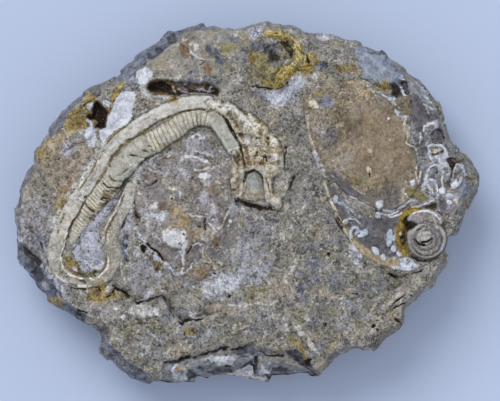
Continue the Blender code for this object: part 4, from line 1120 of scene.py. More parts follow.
middleOysterRim = [
    # painted light: a pale strip along the edge beside the tube, brightening where the tube's shade falls
    line("134,178 140,169 148,162 158,158 172,153", 4.5, 3.5, 0.25, pale=0.72, warm=0.4),
    spot(144.5, 248.5, 2.6, 4.6, 12, lift=-0.8, soot=1.1),
    # the lower left edge: a white ridge with its shadow, brown pockets and a black hole outside it
    line("147,243 152,249 158,253 164,261", 1.8, 1.3, -0.9, soot=0.9),
    line("136,228 139,235 143,239 147,244 151,251", 1.6, 1.3, 0.5, chalk=0.95, cream=0.4),
    spot(151.5, 253, 4.2, 3.4, 20, lift=0.3, cream=1.1, chalk=0.42),
    spot(152.3, 254.3, 1.1, 1.1, lift=-0.3, soot=1.1),
    line("155,256 159,260 163,262.5 167,265 171,270 175,273 179,273", 2, 1.2, 0.5, chalk=1.1),
    area("153,255 158,260 162,265 160,270 156,264", 1.2, -0.3, olive=1, ochre=0.5),
    area("154,261 160,266 161,272 156,270", 1.2, -0.5, rust=1, soot=0.42),
    line("169,274.5 178,273.6", 1, 1, -0.3, rust=1.1),
    line("133.6,183 133.6,195 134,207 137,216 139.5,221", 1, 1.3, -0.6, soot=0.66),
    area("135,209 138,210 141,218 139,222 136,216", 1, -0.4, rust=1, soot=0.38),
    spot(137.3, 225, 1.4, 1.8, lift=-0.5, soot=1),
    # the grey lens on the right with its thin pale edges, and the pale wedge above it
    area("226,218 231,216 236,215 240,222 239,236 235,247 228,251 221,246 219.5,238 222,228", 2, -0.35,
         glass=1, calm=1),
    area("229,222 238,220 238,234 232,240", 4, slate=0.85, calm=1),
    spot(229.8, 221.6, 2.2, 2.3, soft=0.5, lift=0.25, chalk=1.3),
    spot(228, 225.6, 1.3, 1.5, chalk=1.1),
    area("228,206 236,198 242,205 240,214 232,213 227,213", 2.5, 0.1, slate=1, cream=0.35),
    line("231,204 228,209 226,214", 0.9, 1.2, -0.3, soot=0.5),
    line("227.3,213.5 223.5,220.5 219.5,229.5", 1.1, 0.9, 0.35, cream=1.2),
    line("241,212 241,224 239.5,235 236,245 232,252 230,258", 1.6, 1.2, 0.3, cream=0.8),
    # the tan bottom edge with a small ring
    area("184,268 200,264 212,263 215,267 213,274 205,279 196,280 186,276", 3, ochre=0.6, rust=0.4,
         calm=0.4),
    line("215,263 219,262 223,266 222,270 217,270 214.5,266 215,263", 0.9, 0.9, 0.3, cream=1),
    spot(218.6, 266, 2, 2.2, lift=-0.3, olive=1.1),
    area("210,271 216,270 217,276 211,277", 1.2, 0.2, chalk=1),
    spot(213.6, 273.2, 1.6, 1.2, lift=-0.4, soot=0.9),
]
middleOysterLook = {
    **plainStone, "name": "worn oyster shell", "mottle": 6, "grain": 1.2, "contrast": 0.82, "fine": 0.45,
    "ragged": {"rest": 0.8, "glass": 0.6},
    "tones": [(116, 108, 98), (148, 141, 132)],
    "stains": [(7, 3, 0.48, 0.58, (134, 131, 134), 0.75), (6, 4, 0.52, 0.62, (136, 120, 98), 0.7),
               (4, 6, 0.54, 0.62, (96, 88, 76), 0.8), (3.0, 7, 0.53, 0.6, (186, 187, 194), 0.8)],
    "layers": [
        ("slate", (128, 127, 131), (180, 181, 189), 0.4, None),
        ("cream", (172, 162, 142), (212, 205, 190), 0.4, None),
        ("olive", (92, 85, 60), (132, 123, 92), 0.35, None),
        ("rust", (90, 74, 56), (134, 115, 92), 0.38, None),
        ("ochre", (128, 106, 70), (174, 154, 118), 0.42, None),
        ("glass", (84, 80, 76), (126, 122, 119), 0.3, 0.3),
        ("chalk", (172, 172, 176), (220, 219, 218), 0.36, None),
    ],
    "speckSize": 0.6, "darkSpecks": 0.03, "lightSpecks": 0.03,
}


def makeMiddleOyster():
    c = Canvas(*middleOyster["canvas"])
    c.softness, c.gain = 1.3, 0.9
    c.patchy = np.clip(0.78 + 0.75 * c.waver(5, 4, 640, 0.7), 0, 1)
    depth = c.depthInside(middleOyster["outline"])
    swell = middleOyster["edge"] + middleOyster["crown"] * smooth(0, middleOyster["reach"], depth)
    c.height = np.where(depth > 0, swell, middleOyster["edge"] + depth * middleOyster["slope"])
    c.height += 0.35 * c.noise(5.0, 4, 610) + 0.16 * c.noise(1.2, 2, 620)
    spacing, wander, step = middleOyster["flakes"]
    c.height += step * sawtooth(depth / spacing + wander * c.noise(5, 3, 630)) * smooth(9, 4, depth)
    c.draw(middleOysterMarks + middleOysterRim)
    settle(c, 3, 0.45, 0.7)
    return c


# The right oyster: a brown upper valve over a dark glassy lower one
rightOyster = {
    "canvas": (296, 68, 472, 280, 0.85, 0.7, 700),
    "outline": path("303,96 318,86 340,81 358,76 378,93 390,102 400,97 415,94 430,105 440,125 444,142 "
                    "452,158 464,172 466,186 457,205 449,214 438,211 423,212.5 410,218 403.5,229 402.5,243 "
                    "407,256 416,263 424,266.5 410,270.5 393.5,268.5 377.6,263.5 361.6,254 348.9,236.5 "
                    "339.3,222 331,203 321,174 313,154 305.5,128"),
    "upper": path("303,96 318,86 340,81 358,76 368,84 377.6,92.5 384,96 392,103 397.6,111 401,116.7 "
                  "408,117.5 409,129 406.8,142 412.5,147 418,160 423,172 424,180 416,192 405,206 392.7,212 "
                  "383,213 370,208 360,204 350.6,198.5 340,190 331,178 321,174 313,154 305.5,128"),
    "upperHeight": 1.75, "lowerHeight": 0.45, "crown": 0.7, "slope": 2.5,
    "flakes": (1.4, 0.8, 0.12),
    # where its lower valve turns grey, in pixels across the photograph
    "greyFrom": (398, 412),
}
rightOysterMarks = [
    # the granular upper left, then the smooth brown dome
    area("352,104 380,100 400,112 412,140 418,165 404,184 384,190 362,184 344,168 340,140 344,118", 10,
         0.1, calm=0.8),
    area("358,108 388,104 402,116 412,146 413,165 398,182 378,176 356,164 348,140", 12, 0.1, rust=0.58),
    area("360,108 380,108 386,126 374,136 358,132", 8, ochre=0.4),
    area("330,116 342,112 346,122 336,128", 5, ochre=0.36, warm=0.4),
    area("308,112 326,110 340,122 344,144 336,158 322,156 312,136", 8, slate=0.42),
    area("325,128 338,132 336,143 327,142", 3, -0.1, glass=0.62),
    area("350,132 362,136 358,146 348,144", 4, -0.1, glass=0.42),
    area("322,156 336,154 344,164 334,170 324,166", 4, cream=0.42),
    area("352,90 366,90 372,100 358,104", 4, cream=0.36, warm=0.5),
    area("392,140 408,136 414,152 408,166 396,160", 6, rust=0.75),
    area("326,166 342,172 356,184 372,190 392,184 410,180 402,198 384,208 366,204 350,196 336,184", 6,
         -0.1, glass=0.62, calm=0.6),
    area("340,170 352,166 366,178 380,186 372,190 354,184", 5, olive=0.55),
    spot(388.7, 118.4, 1.5, 1.5, chalk=1.1),
    spot(389.5, 140.2, 1.3, 1.3, chalk=0.8),
    spot(370, 151, 4, 5, -35, soft=0.7, lift=0.15, cream=0.7),
    spot(369, 170, 3, 5.5, -20, soft=0.6, lift=0.3, cream=0.9),
    line("369,172 370,177", 0.8, 1, -0.4, soot=0.8),
    area("320,97 330,94 334,102 330,110 320,108 317,102", 4, -0.3, slate=0.95),
    area("309,90 318,88 326,92 318,98 310,97", 4, ochre=0.6),
    area("308,101 315,99 320,108 312,109", 1.5, 0.4, cream=1.1, calm=0.6),
    area("300,84 318,78 330,80 322,88 306,92", 4, warm=0.8),
    # the thin pale left edge, wider and glassy white lower down
    line("306.5,112 307,128 311.5,143 315,153", 1.2, 2.2, 0.35, cream=0.9, chalk=0.3),
    line("314,154 318,163 323,171", 4.5, 2.5, 0.3, chalk=0.66, calm=0.6),
    line("322,174 328,177 333,176 334,180", 1.4, 1.4, 0.4, chalk=0.85),
    line("308,86 315,81 326,77", 1, 1.4, 0.25, cream=0.9),
    line("324,184 328,196 333,209 339,220 346,230 352,240 361,250 372,258 386,264", 3, 2.5, 0.25,
         warm=0.62, calm=0.5),
    line("333,213 338,222 343,228", 1, 1.2, -0.5, soot=0.85),
    # the scalloped white edge of the upper valve, with the shadow under it
    line("352,203 360,208 367,212.5 372,215", 1.4, 1.8, -0.4, soot=0.62),
    area("324,170 334,170 346,180 360,190 374,198 390,198 399,193 402,203 388,209 372,208 356,200 338,196",
         4, glass=0.72, rust=-0.5, calm=0.7),
    line("350,197 355,199 360,203 366,205 371,210 376,212.5 384,214.5 392,214 398,211", 1.2, 1, 0.4,
         chalk=1.3),
    line("382,213 386,216 392,217 398,215 402,213", 1, 1.1, 0.4, cream=0.9, chalk=0.6),
    line("384,211 390,211.5 398,209 404,206 408,202 412,199", 1.2, 1.2, 0.4, chalk=0.9),
    line("413,207 420,206 428,203 434,200", 0.9, 1.1, 0.3, chalk=0.75),
    area("376,202 380,199 384,201 383,207 379,211 376.5,208", 2, 0.3, chalk=0.8),
    line("374.5,203 377,200 379,197", 0.8, 0.9, 0.2, rust=0.9),
    spot(378, 216, 4, 3.8, soft=0.4, dome=0.5, olive=0.5, pale=0.6, calm=0.8),
    line("341,171 350,178 356,183 363,187", 0.7, 1.1, 0.2, ochre=0.9),
    line("352,186 360,192 367,197", 0.6, 1, 0.15, cream=0.6),
    # the dark glassy crescent, bluish in its upper part, with a tan strip along its lower edge
    area("326,180 334,176 344,182 356,194 372,206 384,208 400,204 412,202 406,212 396,222 394,244 400,256 "
         "388,260 374,255 360,245 346,228 336,208", 5, glass=0.95, calm=1),
    area("328,180 338,180 350,192 362,208 372,222 380,238 366,240 350,222 336,202", 7, slate=0.48),
    # painted shade under the edge of the upper valve
    line("351,202 362,210 374,216 388,220 398,219", 4, 5, -0.1, soot=0.3),
    area("347,221 357,222 360,227 350,228", 2, -0.1, soot=0.42),
    line("325,184 328,194 332,205 338,217 343,226 347,236 353,244", 1.8, 1.6, 0.3, cream=0.75, calm=0.5),
    area("350,238 358,242 370,249 384,256 400,260 398,270 384,268 370,262 358,254", 3, 0.15, warm=0.95,
         glass=-0.6, calm=0.5),
    line("334,211 341,222 344,226", 0.9, 1.2, -0.5, soot=0.85),
    # bluish white pebbly blobs on the crescent
    spot(335.8, 199, 2.9, 4.8, dome=0.5, pale=1.15),
    line("339,203 344,205 349,209 353,212", 2, 1.6, 0.3, slate=0.8, pale=0.42),
    line("343,225 344,221 349,219 355,219.5 360,224", 1.3, 1.2, 0.3, pale=0.7),
    spot(345.5, 222, 3, 3.2, dome=0.3, cream=0.7),
    line("351,237 350.5,231 353,227.5 357,228 358.5,231 355,234", 1.9, 1, 0.35, pale=1.1),
    line("357,230 361,232 363,236 359,236", 2, 1.2, 0.3, pale=0.95),
    spot(366, 232.5, 3.2, 4.2, dome=0.5, pale=1.15),
    spot(389.5, 238, 3.9, 10, 4, soft=0.3, dome=0.65, pale=1.2),
    spot(394.5, 238, 1.9, 4.2, dome=0.35, pale=0.9),
    spot(375.5, 251, 3.5, 6, -35, dome=0.6, pale=1.2),
    spot(383.5, 257.5, 3, 4.4, dome=0.5, pale=1.1),
    spot(393.5, 249, 3.5, 4.2, -10, dome=0.5, pale=1),
    spot(399.5, 254, 4.2, 3, 40, dome=0.4, chalk=0.9),
    spot(363.5, 212, 1.8, 1, pale=0.6),
    spot(359.5, 216.5, 1.8, 2.2, pale=0.5),
    area("400,259 408,257 414,262 421,266 412,271 398,272 390,270 392,266 400,266", 2, 0.3, chalk=1),
    spot(408, 264, 4, 2.4, 10, ochre=0.8),
]
rightOysterRim = [
    # the upper right: a wavy pale rim, an olive grey glassy strip and white ribs at the edge
    line("359.7,75 366,83 374,91.5", 0.9, 1.4, 0.35, cream=1),
    line("383,95 388,97 393,101 395,105", 1.4, 1.4, 0.4, chalk=0.8),
    line("396,110 399,115 403,117.5 408,116.5", 1.4, 1.2, 0.45, chalk=0.95),
    line("406.5,119 404,124.5 409,128 407.5,134 408,139 406.5,142.5 412,146 416,150", 1.2, 1.2, 0.4,
         cream=1, chalk=0.4),
    area("404,122 410,125 410,133 404,132 402,127", 2, 0.1, cream=0.6, ochre=0.4),
    area("374,83 384,79 393,84 390,90 378,90", 3, -0.2, olive=0.9, ochre=0.6),
    area("408,84 418,84 426,98 428,118 424,138 416,132 411,118 409,100", 3, glass=0.9, olive=0.35,
         calm=0.9),
    area("411,85 418,86 422,97 414,100", 3, olive=0.62, calm=0.9),
    line("409,88 411,100 410,112 413,122", 1, 1.4, -0.4, soot=0.62),
    line("417,80 421,85.5 424,93 430,98 433,103 436.5,108.5", 1.1, 1.1, 0.4, chalk=1),
    line("424,104 430,107 436.5,109.5", 1.1, 1, 0.4, cream=1, chalk=0.6),
    area("424,89 430,92 434,99 430,101 425,96", 1.5, 0.2, chalk=0.9),
    area("422,96 429,101 427,104 422,101", 1.2, -0.3, slate=0.9, soot=0.42),
    line("427,110 428.5,114", 1, 0.9, 0.2, chalk=0.8),
    area("424,110 436,111 440,119 430,122 425,120", 2, -0.2, glass=1, olive=0.4),
    line("423.5,131 424.5,127 429,124 434,123 437,126.5 433,130 430,132.5", 1.4, 1, 0.4, chalk=1),
    area("425,128 431,125.5 435,126 431,131 426,132", 1.2, 0.2, grey=1, slate=0.5),
    area("430,133 436,129 443,130 446,138 443,145 433,144", 2, -0.4, glass=1.1, soot=0.3),
    line("432,131 438,129 442,132 444,137", 1.1, 1, -0.3, soot=0.8),
    area("441,131 446,134 446,144 442,144", olive=1),
    line("420.5,133 421,138 419.5,144", 0.9, 1.2, 0.2, chalk=0.7),
    area("414,140 428,138 429,158 416,158", 4, glass=0.7),
    # the rough white crust, its drop, and the black hollow beside them
    area("432,149 437,147.5 442,149 442,152 436,154 431.5,153", 1.2, 0.3, cream=0.75, slate=0.6),
    line("430,154 428.8,147 432,145.5 438,144.5 442,146 445,149 447,153 446,158", 1.8, 1, 0.5, chalk=1),
    line("431,154.5 436,154 440,152.3 443.5,151", 1, 0.8, -0.5, soot=1),
    line("429,154.5 431,158.5 433.5,162.5", 1.4, 0.9, 0.4, chalk=1),
    area("435,156 441,154 446,155 446,160 441,161 437,159", 1.2, 0.35, chalk=1.05),
    spot(438.5, 157.5, 1.3, 0.9, lift=-0.3, slate=1, chalk=-0.8),
    spot(442.6, 157, 1, 1.4, lift=-0.3, slate=1, chalk=-0.8),
    line("433.5,162.5 436,161 437.5,164", 1.4, 1, -0.3, slate=0.8, soot=0.4),
    line("441.5,168 441,163 443.6,160 446.6,163.5 449.6,169 450.5,173 447.5,175 443.6,172 440,168.5", 1.8,
         0.9, 0.45, chalk=0.9, cream=0.5),
    area("443.5,164 445.5,163 448.5,169 446.5,171", 1, 0.1, slate=1.2, chalk=-0.6),
    area("447,158 452,157 458,160.5 464,161.5 460,164 456,164 455,169 453,173 452,179 449.5,178 451.5,171 "
         "449,164", 1.2, -0.7, soot=1),
    line("452,160 458,162.5 463,162", 1, 1, 0.1, rust=1, soot=-0.8),
    # shell rings with dark glass between them, the almond, the leaf and the chips
    area("415,162 426,158 440,165 452,174 452,188 440,192 428,188 418,180", 3, -0.1, glass=1, calm=0.9),
    line("417,178 415.4,172 416.5,166 419.5,162 423,161 428,160.5", 1, 1, 0.3, cream=0.9, olive=0.5),
    line("419.5,178 421,171.5 423.5,167.5 427,165 431.5,163.5", 1, 0.9, 0.35, cream=1.1),
    line("433.5,193 430,188.5 427,183.5 426,178 427,172 430,168 433.5,166 438,165.4 440.5,168.5", 1.2, 0.9,
         0.4, chalk=0.9, cream=0.7),
    line("436.5,170 437,174 436,178", 1.2, 1, 0.2, cream=0.7, olive=0.6),
    line("443.5,174.5 442,180 443.2,187", 1.3, 1.2, 0.2, cream=0.8),
    area("436,178 441,177 441,187 438,186", slate=0.8),
    line("430,169 434,168 438,171 436,174", 1, 1, -0.3, soot=0.7),
    line("445,176 448,182 451,187", 2, 1.4, -0.3, soot=0.5),
    line("428.5,180.5 431,178.6 434,181 437,186.5 438,191", 1, 0.8, 0.35, chalk=0.9),
    spot(432.2, 184.5, 2.2, 4.8, -25, soft=0.5, lift=0.1, slate=0.9, olive=0.7),
    area("434,188 438,188 438,193.5 435,193", 1, -0.1, ochre=1.2),
    spot(434.6, 196.3, 1.5, 1.2, lift=-0.5, soot=1.3),
    line("433.5,194 437,193.5 439,196 437,198.5", 1.2, 0.9, 0.3, chalk=1),
    spot(429.6, 192.4, 1.2, 1.2, chalk=1),
    area("405,189 411,188 418,191 424,195 429.5,200 421,200.4 412,198 407,195", 1.2, 0.1, olive=1.3,
         calm=0.4),
    line("405,190 407,195 411,198.5", 1.6, 1.4, ochre=0.9),
    line("421,199.6 428,200", 1, ochre=0.9),
    line("404,188.5 404,192.5 407,196.5 411,199.6 415,200", 1, 0.9, 0.3, chalk=0.9, cream=0.6),
    area("410,181 415,179 416,184 412,187", 1.5, 0.2, chalk=0.95),
    area("417,178 422,179 421,185 416,186", 1.5, 0.1, chalk=0.62, slate=0.7),
    line("420.5,188.5 424,185 427,181.5", 0.9, 0.9, 0.2, chalk=1),
    line("422.5,190 425,188", 0.8, 0.8, 0.2, chalk=0.9),
    area("439,189 443,187.6 446,189 445.6,194 441,194.4", 0.9, 0.4, chalk=1.25),
    area("446,195 450,193 454,195 452,198 447,198.4", 0.9, 0.35, chalk=0.8, pale=1),
    spot(449.6, 202.3, 3.8, 2.8, 25, soft=0.3, lift=0.35, chalk=1.05),
    area("438,197 446,200 448,210 442,214 438,206", 3, -0.2, glass=0.9, rust=0.4),
    area("452,184.5 455,180 459,175 463.5,178 460.5,183 457,188.5 454,188.5", 1, 0.5, chalk=1.3),
    line("456,164.5 460,165 463.5,169.5 466,175", 1.4, 1, 0.4, chalk=0.9),
    area("457,166 462,168 465,175 460,174", 1.2, 0.1, slate=1),
    line("455.5,168 454,174 453.5,178", 1.1, 1, 0.2, cream=0.9),
    area("456,171 460,173 456,177 454.5,175", 1, -0.3, soot=0.6),
    line("446,189 452,191 458,192 460,194", 1.2, 1.2, -0.3, rust=1.1, soot=0.36),
    area("458,182 468,178 470,190 462,202 456,196", 3, slate=1, calm=0.5),
    line("466,178 471,180 475,182", 1.2, 1.2, -0.2, rust=1.1),
    line("455,200 459,204 456,210", 1.6, 1.4, 0.2, cream=0.8),
]
goldenHollow = [
    # the golden hollow between the oyster and the coil, with black in it
    area("398,213 404,210 411,206 420,204 421,209 413,213 409,219 407.5,228 406.5,240 407.5,248 411,255 "
         "404,257 398,249 396,238 396,227 399,219", 1.3, -0.4, ochre=1.3, slate=-1, glass=-1, grey=-1,
         warm=-1, calm=0.5),
    line("399.5,222 397.5,227 397,233", 1, 1.2, 0.1, rust=1),
    area("402,221 407,216 413,216 417,221 413,228 408,232 405,227", 1.5, -1, soot=1, ochre=-0.8),
    area("400,229 405,231 407,240 404,247 400,243 399,235", 1.5, -0.6, soot=0.62),
    spot(400.6, 233.5, 1.2, 2.6, lift=0.2, cream=0.9, soot=-0.9),
    spot(402.6, 240.5, 1.3, 1.6, lift=0.1, ochre=1.2, soot=-0.9),
    area("423,208 428,205 436,202 438,208 434,211.5 427,209.5", 1.3, -0.8, soot=0.75, olive=1),
    line("411,208 416,206 420,207", 1.4, 1.2, 0.2, ochre=1.3, rust=0.6),
]
rightOysterLook = {
    **plainStone, "name": "flinty oyster shell", "mottle": 7, "grain": 1.1, "contrast": 0.9, "fine": 0.5,
    "tones": [(106, 95, 78), (142, 131, 114)],
    "stains": [(9, 3, 0.5, 0.57, (146, 130, 102), 0.7), (7, 4, 0.54, 0.61, (140, 136, 130), 0.5),
               (5, 6, 0.53, 0.6, (92, 79, 60), 0.75), (3, 7, 0.56, 0.62, (174, 162, 140), 0.65)],
    "veins": [(8, 12, 0.012, (164, 150, 126), 0.4)],
    "layers": [
        ("grey", (100, 98, 98), (156, 156, 160), 0.35, 0.6),
        ("rust", (104, 87, 68), (148, 131, 108), 0.4, None),
        ("ochre", (104, 80, 26), (160, 138, 66), 0.3, None),
        ("warm", (128, 112, 86), (172, 156, 128), 0.3, None),
        ("olive", (98, 90, 56), (138, 128, 86), 0.3, None),
        ("glass", (58, 56, 58), (102, 99, 102), 0.3, 0.3),
        ("slate", (94, 97, 106), (138, 142, 153), 0.3, 0.35),
        ("cream", (168, 158, 134), (204, 198, 180), 0.25, None),
        ("chalk", (164, 166, 172), (212, 214, 220), 0.24, None),
        ("pale", (140, 147, 158), (196, 202, 212), 0.3, 0.4),
    ],
    "ragged": {"rest": 0.5, "pale": 0.12, "glass": 0.4, "grey": 0.8},
    "speckSize": 0.6, "darkSpecks": 0.06, "lightSpecks": 0.035, "bump": 0.7,
}


def makeRightOyster():
    c = Canvas(*rightOyster["canvas"])
    c.softness = 1.0
    depth = c.depthInside(rightOyster["outline"])
    upper = c.depthInside(rightOyster["upper"])
    low = rightOyster["lowerHeight"] + 0.35 * smooth(3.5, 0, depth)
    rise = (rightOyster["upperHeight"] - rightOyster["lowerHeight"]) * smooth(-0.2, 0.9, upper)
    c.height = low + rise + rightOyster["crown"] * smooth(1, 12, upper)
    c.height = np.where(depth > 0, c.height, np.minimum(c.height, 0.8) + depth * rightOyster["slope"])
    c.height += 0.28 * c.noise(6.0, 4, 710) + 0.1 * c.noise(1.1, 2, 720)
    spacing, wander, step = rightOyster["flakes"]
    c.height += step * sawtooth(depth / spacing + wander * c.noise(6, 3, 730)) * smooth(7, 3, depth)
    c.masks["grey"] = smooth(0.5, -0.5, upper) * smooth(*rightOyster["greyFrom"], c.px + 0.2 * (c.py - 150))
    c.draw(rightOysterMarks + rightOysterRim + goldenHollow)
    settle(c, 3, 0.45, 0.5, 0.4)
    return c


# The small coiled shell
coil = {
    "canvas": (400, 200, 450, 268, 0.5, 0.3, 800),
    # middle and radii in pixels, with the height and the steepness of its edge
    "disc": (427, 239, 18.5, 18.5), "discHeight": 3.4, "discSlope": 16,
    "shoulder": (425.5, 220, 17.0, 10.0), "shoulderHeight": 2.3, "shoulderSlope": 12,
    "turns": 3.6, "ridge": 0.24,
}
coilMarks = [
    line("414,213 421,211 428,211 434,213.4 440,219", 1, 1.4, 0.2, chalk=0.75),
    area("412,214 424,212 436,215 440,224 424,220 412,224", 3, warm=0.6),
    spot(434, 216, 3.4, 2.8, 20, lift=0.2, pale=0.6),
    area("417,234 424,231 431,232 433,238 426,242 418,241", 3, 0.4, pale=0.85),
    line("415,240 419,244 424,245", 1.2, 1.1, -0.7, soot=1),
    line("422.4,242 427,241.4 432,238.7", 1.1, 1.1, -0.7, soot=1),
    line("418,230 424,226.5 431,228 436,232", 0.9, 1.2, -0.3, soot=0.45),
    area("406,221 414,221 417,225 411,230 407,228", 2.5, -1, soot=1),
    line("412,228 418,223.5 426,222 434,223.5", 0.8, 1.6, -0.3, soot=0.38),
    line("441,222 444.5,230 445,240 442,249", 1.2, 1.6, 0.2, pale=0.8),
    line("413,247 417,253 424,256.5 433,255", 0.8, 1.2, -0.25, soot=0.35),
]
coilLook = {
    **plainStone, "name": "coiled shell stone", "mottle": 4, "grain": 0.9, "contrast": 0.85,
    "tones": [(98, 95, 95), (127, 124, 126)],
    "stains": [(4, 6, 0.52, 0.6, (120, 108, 92), 0.5), (2, 7, 0.55, 0.61, (178, 176, 178), 0.6)],
    "layers": [
        ("warm", (124, 112, 98), (160, 149, 136), 0.3, None),
        ("rust", (108, 94, 82), (142, 126, 112), 0.3, None),
        ("pale", (144, 141, 138), (184, 181, 177), 0.3, None),
        ("chalk", (190, 192, 198), (228, 230, 234), 0.14, None),
    ],
    # spiral grooves: their tone is partly painted shade
    "lines": {"waver": 0.3, "edge": (0.3, 0.5), "tone": (86, 82, 80)},
    "speckSize": 0.4, "darkSpecks": 0.05, "lightSpecks": 0.05, "roughness": 0.7, "bump": 0.5,
}


def makeCoil():
    c = Canvas(*coil["canvas"])
    cx, cy, rx, ry = coil["disc"]
    u, v = (c.wx - cx) / rx, (c.wy - cy) / ry
    away, angle = np.hypot(u, v), np.arctan2(v, u)
    disc = coil["discHeight"] * np.sqrt(np.clip(1 - 0.75 * away**2, 0.02, 1))
    disc -= np.maximum(0, away - 1) * coil["discSlope"]
    spiral = away * coil["turns"] - angle / (2 * math.pi)
    wave = np.abs(sawtooth(spiral) - 0.5)
    disc -= coil["ridge"] * smooth(0.28, 0.5, wave) * smooth(0.12, 0.3, away)
    cx, cy, rx, ry = coil["shoulder"]
    far = np.hypot((c.wx - cx) / rx, (c.wy - cy) / ry)
    shoulder = coil["shoulderHeight"] * np.sqrt(np.clip(1 - 0.7 * far**2, 0.02, 1))
    shoulder -= np.maximum(0, far - 1) * coil["shoulderSlope"]
    c.height = np.maximum(disc, shoulder) + 0.16 * c.noise(2.0, 3, 810)
    c.fields["linePhase"] = spiral + 0.25 * c.noise(1.5, 2, 815)
    c.fields["lines"] = 0.5 * smooth(0.15, 0.4, away) * (disc > shoulder)
    c.masks["warm"] = 0.5 * smooth(0.9, 0.4, away)
    c.masks["calm"] += 0.4
    c.draw(coilMarks)
    settle(c, 3, 0.35)
    return c


# The ochre shell fragment in the bowl at the top
ochreShell = {
    "canvas": (256, 24, 328, 94, 0.55, 1.2, 900),
    "outer": path("263.6,33 266.5,30 272,29.6 280,29.6 287,32.4 293.5,36.4 298.5,41 302.3,46.8 304.6,54 "
                  "309,52 313.5,53.6 320.4,60.6 317,63.6 315.4,66 313.4,70.6 308,73.2 302.6,73.4 "
                  "296.4,72.6 293.4,76 290,80.6 283,85.6 275,88.2 273.6,86 276.4,80 276.6,75 281,70.6 "
                  "282.4,67 287,65.4 291,61 293.6,55 294,49 292,43 289,39.6 285,41.6 280.6,42.2 277.4,38.4 "
                  "270.4,37.2 265.6,36.4"),
    "edge": 0.4, "crown": 1.4, "slope": 2.5, "crust": 0.8,
}
ochreMarks = [
    # painted shade in the gaps along the shell's edges
    spot(271.5, 38, 4.5, 1.4, 5, lift=-0.5, soot=0.9),
    spot(280.5, 42, 2.6, 1, lift=-0.4, soot=0.9),
    line("292.5,43 293,48 292,54", 1, 1, -0.5, soot=0.9),
    spot(289.7, 56.4, 1.4, 1.4, lift=-0.5, soot=1),
    # painted highlights: two white glints
    spot(293, 63.4, 1.5, 1.3, lift=0.4, chalk=1.1),
    spot(283.8, 72.5, 1.3, 1, lift=0.3, chalk=1),
    line("268,31 279,31.5 289,36 297,42 301,49", 0.9, 1, 0.5, pale=0.7),
    line("281,34 282.5,37 285,41", 0.6, 0.8, 0.5, pale=0.8),
    line("295.5,57 298,60 300.5,64.5", 0.6, 0.8, 0.6, pale=0.8),
    line("304.6,49 305.2,54 305,60", 0.6, 0.8, 0.6, pale=0.8),
    line("306.5,53 307,58 309,62", 1.2, 1.2, -0.6, soot=0.55),
    line("290,66 297,68 304,66 311,65", 0.8, 1.2, -0.5, soot=0.42),
    line("284,76 289,74 293,70", 0.8, 1.2, -0.4, soot=0.42),
    area("296,60 306,57 312,57 319,61 308,65 298,66", 2, olive=0.6),
]
ochreLook = {
    **plainStone, "name": "ochre crusted shell", "mottle": 3, "grain": 0.9, "contrast": 1.0,
    "tones": [(132, 110, 40), (188, 162, 74)],
    "stains": [(4, 6, 0.5, 0.58, (106, 96, 48), 0.7), (1.6, 7, 0.53, 0.58, (222, 208, 154), 0.85),
               (1.8, 8, 0.55, 0.6, (58, 44, 18), 0.9), (2.2, 9, 0.56, 0.61, (204, 182, 84), 0.7)],
    "layers": [
        ("olive", (100, 92, 52), (146, 134, 84), 0.2, None),
        ("pale", (176, 160, 112), (214, 204, 172), 0.16, None),
        ("chalk", (206, 206, 204), (240, 240, 240), 0.14, 0.4),
    ],
    "speckSize": 0.5, "speckTones": [(72, 54, 24), (206, 190, 142)],
    # tones of the painted shade with dirt in hollows and of the painted highlights on ridges
    "dirtAndShadeTone": (58, 42, 16), "ridgeWearAndHighlightTone": (206, 186, 130),
}


def makeOchreShell():
    c = Canvas(*ochreShell["canvas"])
    depth = c.depthInside(ochreShell["outer"])
    swell = ochreShell["edge"] + ochreShell["crown"] * smooth(0, 1.5, depth)
    c.height = np.where(depth > 0, swell, ochreShell["edge"] + depth * ochreShell["slope"])
    c.height += ochreShell["crust"] * c.noise(2.0, 4, 910, 0.75)
    c.draw(ochreMarks)
    settle(c, 3, 0.35)
    return c


